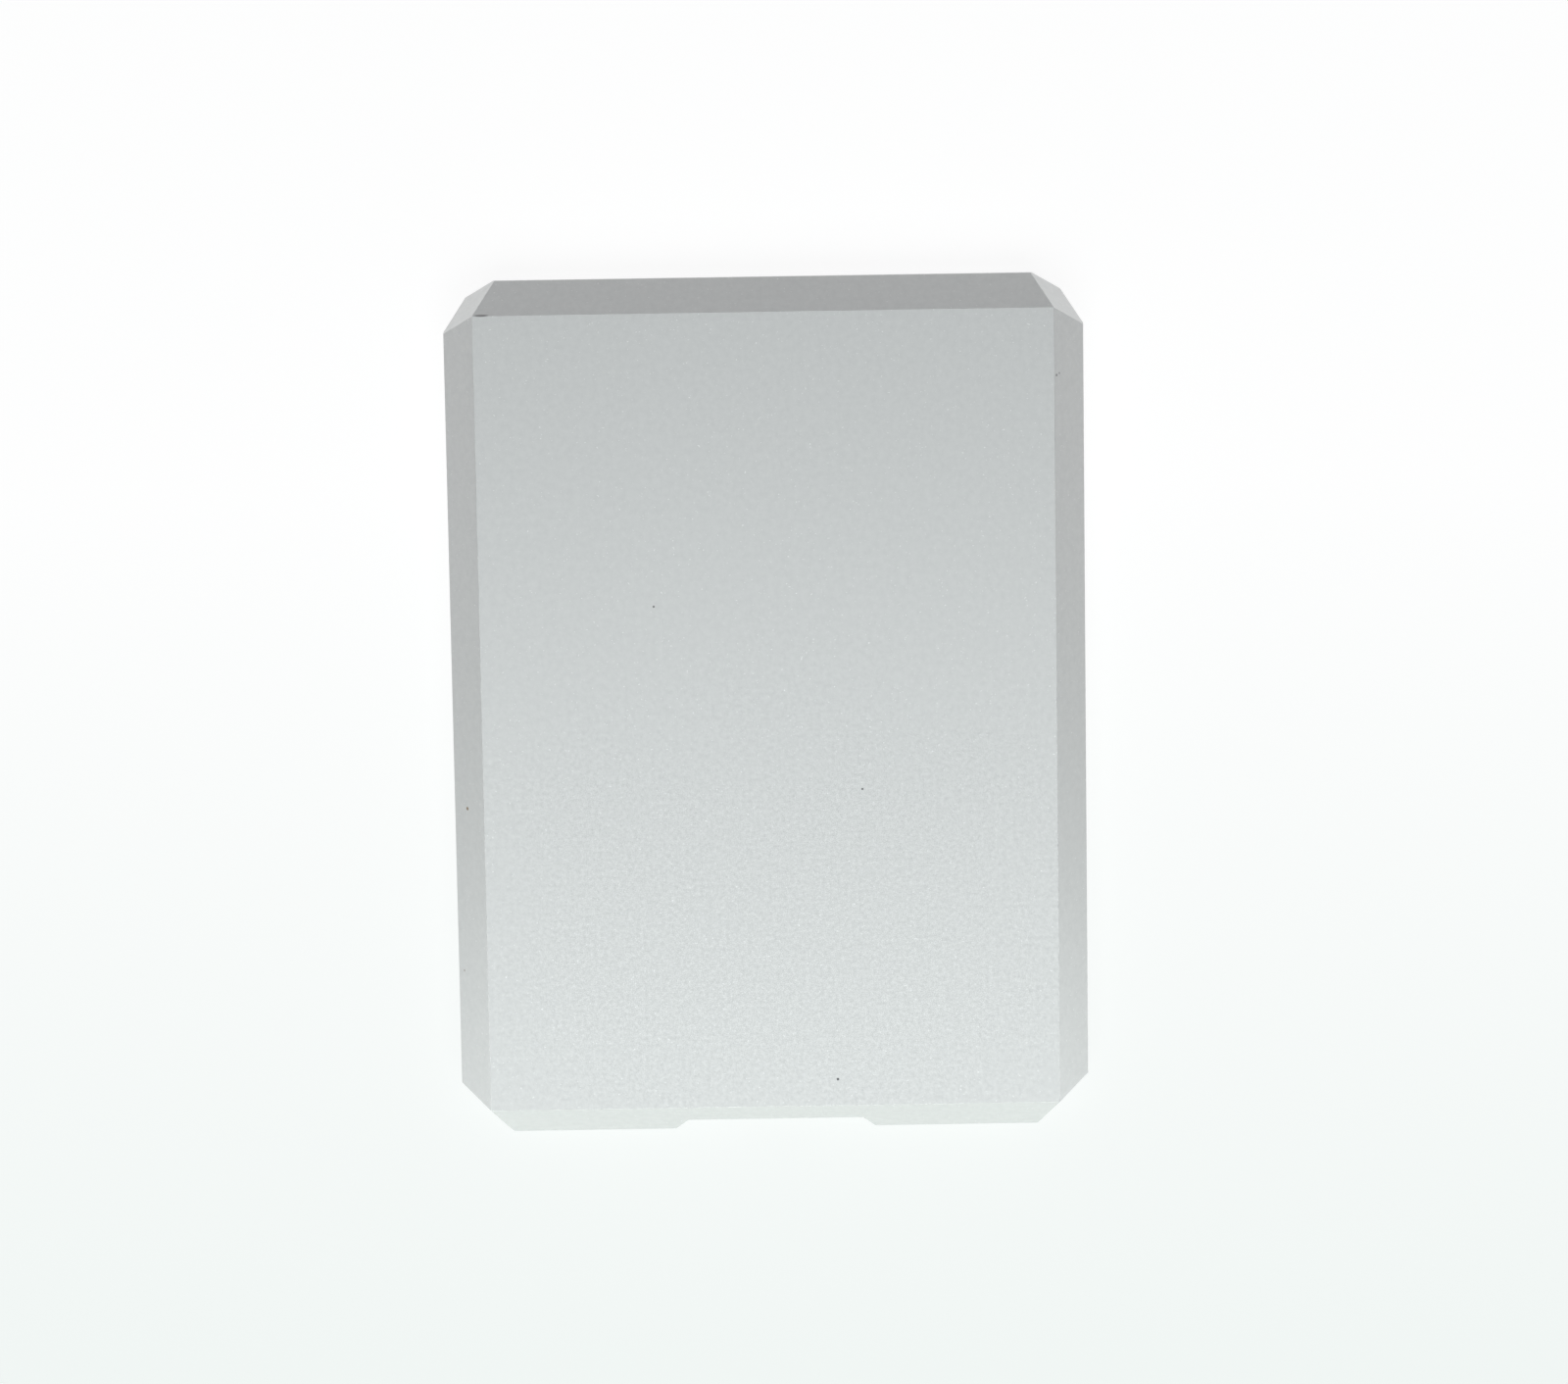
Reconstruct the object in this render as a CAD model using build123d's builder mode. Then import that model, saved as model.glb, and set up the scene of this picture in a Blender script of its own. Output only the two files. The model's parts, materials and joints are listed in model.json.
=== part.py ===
from build123d import *
import os
from math import acos, atan2, cos, degrees, hypot, pi, radians, sin, sqrt, tan

# A faceted portable hard drive lying on its back face, in millimetres. X runs across it, Y from the
# port end to the far end and Z from the back face up to the front face. The origin is the middle of
# the back face.

# The 2.5-inch disk drive inside, in plan.
drive_width = 69.85
drive_length = 100.35
drive_corner = 2.5
base_wall = 1.625
disc_clearance = 0.8

# Heights that stack up inside the drive, from its underside to its cover.
drive_board_thickness = 0.8
chip_height = 0.8
chip_gap = 0.05
deck_thickness = 1.4
arm_gap = 0.2
arm_thickness = 0.6
head_space = 0.3
disc_thickness = 0.8
cover_gap = 0.65
cover_thickness = 0.5
seal_thickness = 0.2

# The casing: wall, bevels, the notch round the port and the lip inside the seam.
side_margin = 9.075
far_margin = 6.15
wall = 1.2
pad_thickness = 0.8
ridge_band = 0.5
front_bevel = 4.25
back_bevel = 2.85
notch_depth = 1.75
notch_floor = 24.5
lip_thickness = 0.5
lip_height = 0.6
lip_gap = 0.1

# The inner frame and the rubber and foam that hold the drive in it.
frame_gap = 0.1
frame_wall = 1.4
frame_flange = 2.0
frame_floor = 0.8
frame_ribs = 5
bumper = 1.0
bumper_leg = 6.0
pad_margin = 6.0

# The port and its lamp.
usb_width = 8.94
usb_height = 3.16
usb_depth = 7.35
usb_sheet = 0.3
usb_recess = 0.25
port_clearance = 0.18
tongue_width = 6.69
tongue_thickness = 0.7
tongue_setback = 0.7
tongue_block = 2.0
contact_width = 0.25
contact_pitch = 0.5
contact_thickness = 0.06
contact_length = 3.8
contact_count = 12
lamp_offset = 9.0
lamp_radius = 0.6
lamp_width = 1.6
lamp_height = 1.3
lamp_depth = 0.8
lamp_gap = 0.2

# The bridge board and what it carries.
bridge_width = 64.0
bridge_thickness = 0.8
bridge_gap = 0.3
bridge_screw_margin = 4.0
bridge_screw_radius = 0.8
bridge_head_height = 0.7
controller_side = 6.0
controller_height = 0.85
memory_width = 4.0
memory_length = 5.0
memory_height = 1.4
crystal_width = 2.5
crystal_length = 2.0
crystal_height = 0.7
inductor_side = 4.0
inductor_height = 2.0
capacitor_width = 1.25
capacitor_length = 2.0
capacitor_height = 0.9
part_spacing = 1.0

# The connector between the bridge board and the drive.
sata_margin = 5.625
sata_width = 34.6
plug_depth = 5.2
plug_height = 4.0
plug_wall = 0.7
plug_tongue = 1.2
tongue_gap = 1.4
signal_width = 10.0
receptacle_depth = 3.6
receptacle_gap = 0.55
nose_gap = 0.1

# The spindle motor and the disc.
disc_bore = 10.0
hub_fit = 0.03
flange_radius = 12.0
flange_thickness = 0.5
clamp_thickness = 0.45
clamp_screw_radius = 0.9
clamp_screw_length = 1.2
clamp_head_height = 0.4
shaft_radius = 1.5
sleeve_outer = 3.9
running_gap = 0.05
motor_floor = 0.7
motor_gap = 0.2
magnet_thickness = 1.2
stator_radius = 12.2
stator_ring = 2.0
stator_height = 1.8
stator_poles = 9
tooth_width = 1.3
winding = 0.2

# The head actuator, drawn parked off the disc.
pivot_clearance = 10.6
head_setback = 7.2
beam_length = 11.0
park_gap = 3.5
inner_gap = 2.0
arm_root = 9.6
arm_tip = 4.0
block_radius = 5.5
pivot_radius = 1.9
sleeve_radius = 3.95
beam_thickness = 0.1
beam_tip = 1.2
tab_length = 2.4
tab_width = 0.6
slider_length = 1.2
slider_width = 1.0
fly_gap = 0.04
ramp_wall = 2.0
ramp_gap = 0.3
shelf_gap = 0.05

# The voice-coil motor that swings it.
coil_inner = 7.8
coil_outer = 14.8
coil_angle = 26.0
coil_leg = 2.2
coil_thickness = 1.0
coil_lift = 0.4
carrier_rim = 0.7
carrier_margin = 5.0
magnet_gap = 0.2
magnet_margin = 18.0
yoke_thickness = 0.6
yoke_rim = 1.2
yoke_margin = 8.0
yoke_clearance = 1.2
post_reach = 12.0
post_radius = 1.3
stop_rubber = 0.6
stop_gap = 0.45

# Screws, chips and small things inside the drive.
screw_radius = 0.7
screw_head = 1.4
screw_fit = 0.05
screw_inset = 2.0
screw_depth = 3.0
screw_margin = 3.0
cover_screw_margin = 5.0
screw_sides = 8
cover_head_height = 0.3
board_head_height = 0.4
pivot_screw_radius = 1.0
pivot_screw_length = 2.4
boss_radius = 2.0
board_gap = 0.3
drive_controller_side = 13.0
cache_width = 8.0
cache_length = 11.0
motor_driver_side = 8.0
chip_spacing = 4.0
filter_width = 9.0
filter_thickness = 3.0
seal_margin = 0.25

# Levels, from the back face up.
drive_z = wall + pad_thickness
board_top = drive_z + drive_board_thickness
pocket_z = board_top + chip_height + chip_gap
deck_z = pocket_z + deck_thickness
lower_arm_z = deck_z + arm_gap
disc_z = lower_arm_z + arm_thickness + head_space
clamp_z = disc_z + disc_thickness
upper_arm_z = clamp_z + head_space
arm_top = upper_arm_z + arm_thickness
cover_z = arm_top + cover_gap
rim_z = cover_z - seal_thickness
drive_top = cover_z + cover_thickness
thickness = drive_top + pad_thickness + wall
seam_z = thickness / 2

# Places in plan, and the slopes of the two bevels.
port_margin = notch_depth + usb_recess + usb_depth + receptacle_gap + receptacle_depth
width = drive_width + 2 * side_margin
length = drive_length + port_margin + far_margin
notch_y = notch_depth - length / 2
connector_y = port_margin - length / 2
drive_y = connector_y + drive_length / 2
front_slope = front_bevel / (thickness - seam_z - ridge_band / 2)
back_slope = back_bevel / (seam_z - ridge_band / 2)

# The port stands in the middle of the notch's flat floor, and the bridge board lies under it.
notch_top = seam_z + ridge_band / 2 + notch_depth / front_slope
notch_bottom = seam_z - ridge_band / 2 - notch_depth / back_slope
port_z = (notch_top + notch_bottom) / 2
bridge_top = port_z - usb_height / 2
bridge_z = bridge_top - bridge_thickness
lamp_z = bridge_top + lamp_radius + running_gap
port_face = Plane.XZ.offset(-notch_y)
usb_face = port_face.offset(-usb_recess)
connector_face = Plane.XZ.offset(-connector_y)


def faceted_body(inset):
    """The notched slab inside every outer plane of the casing moved inwards by inset."""
    low = inset
    high = thickness - inset
    front_margin = front_bevel + inset * tan(atan2(1, front_slope) / 2)
    back_margin = back_bevel + inset * tan(atan2(1, back_slope) / 2)
    lean = 2 * (front_bevel - back_bevel) / thickness
    reach = (width + length) / 2 - 2 * back_bevel - inset * sqrt(2 + lean**2)
    floor_half = notch_floor / 2 + inset * tan(pi / 8)
    floor_y = notch_y + inset
    flare = 2 * notch_depth + inset
    with BuildPart() as body:
        for level, margin in ((low, front_margin - front_slope * (high - low)), (high, front_margin)):
            with BuildSketch(Plane.XY.offset(level)):
                Rectangle(width - 2 * margin, length - 2 * margin)
        loft(ruled=True)
        for level, margin in ((low, back_margin), (high, back_margin - back_slope * (high - low))):
            with BuildSketch(Plane.XY.offset(level)):
                Rectangle(width - 2 * margin, length - 2 * margin)
        loft(ruled=True, mode=Mode.INTERSECT)
        with BuildSketch(Plane.XY.offset(low)):
            Rectangle(width - 2 * inset, length - 2 * inset)
        extrude(amount=high - low, mode=Mode.INTERSECT)
        for level in (low, high):
            with BuildSketch(Plane.XY.offset(level)):
                side = sqrt(2) * (reach - lean * level)
                Rectangle(side, side, rotation=45)
        loft(ruled=True, mode=Mode.INTERSECT)
        with BuildSketch(Plane.XY):
            with BuildLine():
                Polyline(
                    (-floor_half, floor_y),
                    (floor_half, floor_y),
                    (floor_half + flare, floor_y - flare),
                    (-floor_half - flare, floor_y - flare),
                    close=True,
                )
            make_face()
        extrude(amount=thickness, mode=Mode.SUBTRACT)
    return body.part


def sector(inner, outer, middle, half_angle):
    """A flat piece of ring about the origin, centred on the direction middle, in degrees."""
    start = radians(middle - half_angle)
    end = radians(middle + half_angle)
    with BuildSketch() as piece:
        with BuildLine():
            CenterArc((0, 0), outer, middle - half_angle, 2 * half_angle)
            Line((outer * cos(end), outer * sin(end)), (inner * cos(end), inner * sin(end)))
            CenterArc((0, 0), inner, middle - half_angle, 2 * half_angle)
            Line((inner * cos(start), inner * sin(start)), (outer * cos(start), outer * sin(start)))
        make_face()
    return piece.sketch


def screw(head_radius, head_height, shank_radius, shank_length):
    """A screw with the underside of its head at the origin and its shank pointing down."""
    with BuildPart() as body:
        with BuildSketch(Plane.XY):
            RegularPolygon(head_radius, screw_sides)
        extrude(amount=head_height)
        with BuildSketch(Plane.XY.offset(-shank_length)):
            RegularPolygon(shank_radius, screw_sides)
        extrude(amount=shank_length)
    return body.part


def cut_corners(across, along, corner):
    """A rectangle about the origin with its four corners cut off."""
    with BuildSketch() as plate:
        Rectangle(across, along)
        chamfer(plate.vertices(), corner)
    return plate.sketch


# Casing: two aluminium shells that meet at the ridge, with a lip on the lower one inside the seam.
with BuildPart() as port_openings:
    with BuildSketch(port_face):
        with Locations((0, port_z)):
            SlotOverall(usb_width + 2 * port_clearance, usb_height + 2 * port_clearance)
        with Locations((lamp_offset, lamp_z)):
            Circle(lamp_radius + running_gap)
    extrude(amount=-2 * wall)

with BuildPart() as seam_rebate:
    add(faceted_body(wall - lip_thickness - lip_gap))
    split(bisect_by=Plane.XY.offset(seam_z + lip_height + lip_gap), keep=Keep.BOTTOM)

with BuildPart() as seam_lip:
    add(faceted_body(wall - lip_thickness))
    split(bisect_by=Plane.XY.offset(seam_z + lip_height), keep=Keep.BOTTOM)

with BuildPart() as front_shell:
    add(faceted_body(0))
    add(faceted_body(wall), mode=Mode.SUBTRACT)
    split(bisect_by=Plane.XY.offset(seam_z), keep=Keep.TOP)
    add(seam_rebate.part, mode=Mode.SUBTRACT)
    add(port_openings.part, mode=Mode.SUBTRACT)

with BuildPart() as back_shell:
    add(faceted_body(0))
    split(bisect_by=Plane.XY.offset(seam_z), keep=Keep.BOTTOM)
    add(seam_lip.part)
    add(faceted_body(wall), mode=Mode.SUBTRACT)
    add(port_openings.part, mode=Mode.SUBTRACT)

# Inner frame: a moulded ring round the drive with a flange and ribs out to the shells, and a floored
# bay with two posts for the bridge board.
bay_width = drive_width + 2 * bumper
bay_length = drive_length + 2 * bumper
bridge_bay_y = notch_y + wall
bridge_bay_depth = connector_y - bumper - bridge_bay_y
bridge_y = bridge_bay_y + bridge_bay_depth / 2
bridge_floor_z = wall + frame_gap + frame_floor
bridge_screw_places = [(side * (bridge_width / 2 - bridge_screw_margin), bridge_y) for side in (-1, 1)]

with BuildPart() as inner_frame:
    with BuildSketch(Plane.XY):
        with Locations((0, drive_y)):
            Rectangle(bay_width + 2 * frame_wall, bay_length + 2 * frame_wall)
            with GridLocations(0, drive_length / frame_ribs, 1, frame_ribs):
                Rectangle(width, frame_wall)
        with Locations((0, bridge_y)):
            Rectangle(bridge_width + 2 * bridge_gap + 2 * frame_wall, bridge_bay_depth + 2 * frame_wall)
    extrude(amount=thickness)
    with BuildSketch(Plane.XY.offset(seam_z - frame_flange / 2)):
        Rectangle(width, length)
    extrude(amount=frame_flange)
    with BuildSketch(Plane.XY):
        with Locations((0, drive_y)):
            Rectangle(bay_width, bay_length)
    extrude(amount=thickness, mode=Mode.SUBTRACT)
    with BuildSketch(Plane.XY.offset(bridge_floor_z)):
        with Locations((0, bridge_y)):
            Rectangle(bridge_width + 2 * bridge_gap, bridge_bay_depth)
    extrude(amount=thickness, mode=Mode.SUBTRACT)
    with BuildSketch(Plane.XY.offset(wall)):
        with Locations(*bridge_screw_places):
            RegularPolygon(3 * bridge_screw_radius, screw_sides)
    extrude(amount=bridge_z - wall)
    with BuildSketch(Plane.XY):
        with Locations(*bridge_screw_places):
            RegularPolygon(bridge_screw_radius + screw_fit, screw_sides)
    extrude(amount=bridge_z, mode=Mode.SUBTRACT)
    add(faceted_body(wall + frame_gap), mode=Mode.INTERSECT)

with BuildPart() as corner_bumpers:
    with BuildSketch(Plane.XY.offset(drive_z)):
        with Locations((0, drive_y)):
            Rectangle(bay_width, bay_length)
            Rectangle(drive_width, drive_length, mode=Mode.SUBTRACT)
            Rectangle(bay_width - 2 * bumper_leg, bay_length, mode=Mode.SUBTRACT)
            Rectangle(bay_width, bay_length - 2 * bumper_leg, mode=Mode.SUBTRACT)
    extrude(amount=drive_top - drive_z)

# Places inside the drive. The voice-coil motor fills one corner of the well beside the connector, and
# the disc is as large as the drive's width and the room left beyond the pivot allow.
well_end = connector_y + plug_depth + bridge_gap + base_wall
far_wall_y = connector_y + drive_length - base_wall
well_width = drive_width - 4 * base_wall
yoke_outer = coil_outer + yoke_rim
pivot_x = yoke_outer + yoke_clearance - well_width / 2
pivot_y = well_end + yoke_outer + yoke_clearance
disc_room = far_wall_y - disc_clearance - pivot_y
radius_by_width = drive_width / 2 - base_wall - disc_clearance
radius_by_length = (disc_room**2 + pivot_x**2 - pivot_clearance**2) / (2 * (disc_room + pivot_clearance))
disc_radius = min(radius_by_width, radius_by_length)
well_radius = disc_radius + disc_clearance
spindle_y = far_wall_y - well_radius
spindle = (0, spindle_y)
pivot = (pivot_x, pivot_y)
pivot_reach = hypot(pivot_x, spindle_y - pivot_y)
head_arm = pivot_reach - head_setback
arm_reach = head_arm - beam_length


def swing_from_spindle(radius, reach):
    """Angle at the pivot between the spindle and a point at reach whose track radius is given."""
    return degrees(acos((pivot_reach**2 + reach**2 - radius**2) / (2 * pivot_reach * reach)))


parked_swing = swing_from_spindle(disc_radius + park_gap, head_arm)
travel = parked_swing - swing_from_spindle(flange_radius + inner_gap, head_arm)
parked_direction = atan2(spindle_y - pivot_y, -pivot_x) - radians(parked_swing)
arm_frame = Plane(
    origin=(pivot_x, pivot_y, 0),
    x_dir=(cos(parked_direction), sin(parked_direction), 0),
    z_dir=(0, 0, 1),
)
board_width = well_width + 2 * base_wall
board_end = well_end + 2 * (yoke_outer + yoke_clearance)
board_y = (connector_y + board_end) / 2
sata_x = drive_width / 2 - sata_margin - sata_width / 2
sata_left = sata_x - sata_width / 2
cover_screw_places = [
    (side * (drive_width / 2 - screw_inset), place)
    for side in (-1, 1)
    for place in (connector_y + cover_screw_margin, board_end, far_wall_y - cover_screw_margin)
]
board_screw_places = [
    (screw_margin - well_width / 2, connector_y + screw_margin),
    (sata_left - screw_margin, connector_y + screw_margin),
    (screw_margin - well_width / 2, board_end - screw_margin),
    (well_width / 2 - screw_margin, well_end + screw_margin),
]
board_hole_z = deck_z - board_gap
motor_floor_z = drive_z + motor_floor
stator_z = motor_floor_z + winding + chip_gap
plug_top = board_top + plug_height
plug_z = board_top + plug_height / 2

# Disk drive: cast base with the disc well, the actuator well, the motor well and the board pocket.
with BuildPart() as drive_base:
    with BuildSketch(Plane((0, drive_y, drive_z))):
        add(cut_corners(drive_width, drive_length, drive_corner))
    extrude(amount=rim_z - drive_z)
    with BuildSketch(Plane.XY.offset(deck_z)):
        with Locations(spindle):
            Circle(well_radius)
        with Locations((0, (well_end + spindle_y) / 2)):
            Rectangle(well_width, spindle_y - well_end)
    extrude(amount=rim_z - deck_z, mode=Mode.SUBTRACT)
    with BuildSketch(Plane.XY.offset(drive_z)):
        with Locations((0, board_y)):
            Rectangle(board_width, board_end - connector_y)
    extrude(amount=pocket_z - drive_z, mode=Mode.SUBTRACT)
    with BuildSketch(Plane.XY.offset(board_top)):
        with Locations(*board_screw_places):
            RegularPolygon(boss_radius, screw_sides)
    extrude(amount=pocket_z - board_top)
    with BuildSketch(Plane.XY.offset(drive_z)):
        with Locations(*board_screw_places):
            RegularPolygon(screw_radius + screw_fit, screw_sides)
    extrude(amount=board_hole_z - drive_z, mode=Mode.SUBTRACT)
    with BuildSketch(Plane.XY.offset(drive_z)):
        with Locations((sata_x, connector_y + (plug_depth + bridge_gap) / 2)):
            Rectangle(sata_width + 2 * bridge_gap, plug_depth + bridge_gap)
    extrude(amount=plug_top + bridge_gap - drive_z, mode=Mode.SUBTRACT)
    with BuildSketch(Plane.XY.offset(motor_floor_z)):
        with Locations(spindle):
            Circle(stator_radius + screw_fit)
    extrude(amount=deck_z - motor_floor_z, mode=Mode.SUBTRACT)
    with BuildSketch(Plane.XY.offset(drive_z)):
        with Locations(spindle):
            Circle(sleeve_outer)
    extrude(amount=motor_floor, mode=Mode.SUBTRACT)
    with BuildSketch(Plane.XY.offset(rim_z)):
        with Locations(*cover_screw_places):
            RegularPolygon(screw_radius + screw_fit, screw_sides)
    extrude(amount=-screw_depth, mode=Mode.SUBTRACT)

seal_inset = screw_inset - screw_radius - 2 * screw_fit

with BuildPart() as cover_seal:
    with BuildSketch(Plane((0, drive_y, rim_z))):
        add(cut_corners(drive_width - 2 * seal_margin, drive_length - 2 * seal_margin, drive_corner))
        add(
            cut_corners(drive_width - 2 * seal_inset, drive_length - 2 * seal_inset, drive_corner),
            mode=Mode.SUBTRACT,
        )
    extrude(amount=seal_thickness)

with BuildPart() as drive_cover:
    with BuildSketch(Plane((0, drive_y, cover_z))):
        add(cut_corners(drive_width, drive_length, drive_corner))
    extrude(amount=cover_thickness)
    with BuildSketch(Plane.XY.offset(cover_z)):
        with Locations(*cover_screw_places):
            RegularPolygon(screw_radius + screw_fit, screw_sides)
        with Locations(pivot):
            RegularPolygon(pivot_screw_radius + screw_fit, screw_sides)
    extrude(amount=cover_thickness, mode=Mode.SUBTRACT)
    with BuildSketch(Plane.XY.offset(drive_top)):
        with Locations(*cover_screw_places):
            RegularPolygon(screw_head + screw_fit, screw_sides)
        with Locations(pivot):
            RegularPolygon(2 * pivot_screw_radius + screw_fit, screw_sides)
    extrude(amount=-cover_head_height, mode=Mode.SUBTRACT)

with BuildPart() as cover_screws:
    with Locations(*[(x, y, drive_top - cover_head_height) for x, y in cover_screw_places]):
        add(screw(screw_head, cover_head_height, screw_radius, screw_depth))

# Spindle motor: a wound stator round a magnet ring under the hub, whose shaft turns in a sleeve.
flange_z = disc_z - flange_thickness
ring_inner = stator_radius - stator_ring
magnet_inner = sleeve_outer + 2 * magnet_thickness - motor_gap
magnet_outer = magnet_inner + magnet_thickness
tooth_tip = magnet_outer + motor_gap
tooth_length = ring_inner - tooth_tip

with BuildPart() as stator_core:
    with BuildSketch(Plane.XY.offset(stator_z)):
        with Locations(spindle):
            Circle(stator_radius)
            Circle(ring_inner, mode=Mode.SUBTRACT)
            with PolarLocations(tooth_tip + tooth_length / 2 + winding, stator_poles):
                Rectangle(tooth_length + 2 * winding, tooth_width)
    extrude(amount=stator_height)

with BuildPart() as stator_coils:
    with Locations((0, spindle_y, stator_z + stator_height / 2)):
        with PolarLocations(tooth_tip + tooth_length / 2, stator_poles):
            Box(tooth_length - 4 * winding, tooth_width + 4 * winding, stator_height + 2 * winding)
            Box(tooth_length, tooth_width + hub_fit, stator_height + hub_fit, mode=Mode.SUBTRACT)

with BuildPart() as bearing_sleeve:
    with BuildSketch(Plane.XY.offset(drive_z + chip_gap)):
        with Locations(spindle):
            Circle(sleeve_outer)
    extrude(amount=flange_z - motor_gap - drive_z - chip_gap)
    with BuildSketch(Plane.XY.offset(motor_floor_z)):
        with Locations(spindle):
            Circle(shaft_radius + running_gap)
    extrude(amount=flange_z - motor_floor_z, mode=Mode.SUBTRACT)

with BuildPart() as rotor_magnet:
    with BuildSketch(Plane.XY.offset(stator_z)):
        with Locations(spindle):
            Circle(magnet_outer)
            Circle(magnet_inner, mode=Mode.SUBTRACT)
    extrude(amount=flange_z - stator_z)

# Hub, disc and clamp turn together on the spindle.
with BuildPart() as spindle_hub:
    with BuildSketch(Plane.XY.offset(motor_floor_z + running_gap)):
        with Locations(spindle):
            Circle(shaft_radius)
    extrude(amount=flange_z - motor_floor_z - running_gap)
    with BuildSketch(Plane.XY.offset(flange_z)):
        with Locations(spindle):
            Circle(flange_radius)
    extrude(amount=flange_thickness)
    with BuildSketch(Plane.XY.offset(disc_z)):
        with Locations(spindle):
            Circle(disc_bore - hub_fit)
    extrude(amount=disc_thickness - hub_fit)
    with BuildSketch(Plane.XY.offset(clamp_z)):
        with Locations(spindle):
            RegularPolygon(clamp_screw_radius + screw_fit, screw_sides)
    extrude(amount=-clamp_screw_length, mode=Mode.SUBTRACT)

with BuildPart() as disc:
    with BuildSketch(Plane.XY.offset(disc_z)):
        with Locations(spindle):
            Circle(disc_radius)
            Circle(disc_bore, mode=Mode.SUBTRACT)
    extrude(amount=disc_thickness)

with BuildPart() as disc_clamp:
    with BuildSketch(Plane.XY.offset(clamp_z)):
        with Locations(spindle):
            Circle(flange_radius)
            RegularPolygon(clamp_screw_radius + screw_fit, screw_sides, mode=Mode.SUBTRACT)
    extrude(amount=clamp_thickness)

with BuildPart() as clamp_screw:
    with Locations((0, spindle_y, clamp_z + clamp_thickness)):
        add(screw(2 * clamp_screw_radius, clamp_head_height, clamp_screw_radius, clamp_screw_length))

# Head actuator, drawn parked, with its own X axis along the arms from the pivot.
coil_z = lower_arm_z + (arm_top - lower_arm_z - coil_thickness) / 2 + coil_lift
carrier_angle = coil_angle + carrier_margin
window_start = block_radius + arm_tip
window_end = arm_reach - arm_tip

with BuildPart() as actuator_block:
    with BuildSketch(arm_frame.offset(lower_arm_z)):
        Circle(block_radius)
    extrude(amount=arm_top - lower_arm_z)
    for level in (lower_arm_z, upper_arm_z):
        with BuildSketch(arm_frame.offset(level)):
            Polygon(
                (0, arm_root / 2),
                (0, -arm_root / 2),
                (arm_reach, -arm_tip / 2),
                (arm_reach, arm_tip / 2),
                align=None,
            )
            Polygon(
                (window_start, arm_tip / 2),
                (window_start, -arm_tip / 2),
                (window_end, -arm_tip / 5),
                (window_end, arm_tip / 5),
                align=None,
                mode=Mode.SUBTRACT,
            )
        extrude(amount=arm_thickness)
    with BuildSketch(arm_frame.offset(coil_z)):
        add(sector(sleeve_radius, coil_outer + carrier_rim, 180, carrier_angle))
        add(sector(coil_inner, coil_outer, 180, coil_angle), mode=Mode.SUBTRACT)
    extrude(amount=coil_thickness)
    with BuildSketch(arm_frame.offset(lower_arm_z)):
        Circle(sleeve_radius)
    extrude(amount=arm_top - lower_arm_z, mode=Mode.SUBTRACT)

with BuildPart() as pivot_sleeve:
    with BuildSketch(arm_frame.offset(lower_arm_z)):
        Circle(sleeve_radius)
        Circle(pivot_radius + running_gap, mode=Mode.SUBTRACT)
    extrude(amount=arm_top - lower_arm_z)

leg_angle = degrees(coil_leg / (coil_inner + coil_leg))

with BuildPart() as voice_coil:
    with BuildSketch(arm_frame.offset(coil_z)):
        add(sector(coil_inner, coil_outer, 180, coil_angle))
        add(
            sector(coil_inner + coil_leg, coil_outer - coil_leg, 180, coil_angle - leg_angle),
            mode=Mode.SUBTRACT,
        )
    extrude(amount=coil_thickness)

lower_beam_z = lower_arm_z + arm_thickness - beam_thickness
tab_end = head_arm + tab_length

with BuildPart() as suspensions:
    for level in (lower_beam_z, upper_arm_z):
        with BuildSketch(arm_frame.offset(level)):
            Polygon(
                (arm_reach, arm_tip / 2),
                (arm_reach, -arm_tip / 2),
                (head_arm + slider_length / 2, -beam_tip / 2),
                (head_arm + slider_length / 2, beam_tip / 2),
                align=None,
            )
            with Locations((head_arm + tab_length / 2, 0)):
                Rectangle(tab_length, tab_width)
        extrude(amount=beam_thickness)

slider_height = head_space - fly_gap

with BuildPart() as sliders:
    for level in (lower_arm_z + arm_thickness, upper_arm_z - slider_height):
        with BuildSketch(arm_frame.offset(level)):
            with Locations((head_arm, 0)):
                Rectangle(slider_length, slider_width)
        extrude(amount=slider_height)

with BuildPart() as pivot_shaft:
    with BuildSketch(arm_frame.offset(deck_z)):
        Circle(pivot_radius)
    extrude(amount=cover_z - deck_z)
    with BuildSketch(Plane.XY.offset(cover_z)):
        with Locations(pivot):
            RegularPolygon(pivot_screw_radius + screw_fit, screw_sides)
    extrude(amount=-pivot_screw_length, mode=Mode.SUBTRACT)

with BuildPart() as pivot_screw:
    with Locations((pivot_x, pivot_y, drive_top - cover_head_height)):
        add(screw(2 * pivot_screw_radius, cover_head_height, pivot_screw_radius, pivot_screw_length))

# Voice-coil motor: two steel yokes joined by posts, a magnet on the lower one and rubber stops.
yoke_middle = 180 + travel / 2
yoke_inner = block_radius + 2 * carrier_rim
post_angle = travel / 2 + carrier_angle + degrees((post_radius + stop_rubber + stop_gap) / post_reach)
upper_yoke_z = coil_z + coil_thickness + magnet_gap
magnet_z = deck_z + yoke_thickness
post_places = [
    (post_reach * cos(radians(angle)), post_reach * sin(radians(angle)))
    for angle in (yoke_middle - post_angle, yoke_middle + post_angle)
]

with BuildPart() as lower_yoke:
    with BuildSketch(arm_frame.offset(deck_z)):
        add(sector(yoke_inner, yoke_outer, yoke_middle, post_angle + yoke_margin))
    extrude(amount=yoke_thickness)

with BuildPart() as coil_magnet:
    with BuildSketch(arm_frame.offset(magnet_z)):
        add(sector(coil_inner, coil_outer, yoke_middle, post_angle - magnet_margin))
    extrude(amount=coil_z - magnet_gap - magnet_z)

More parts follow.
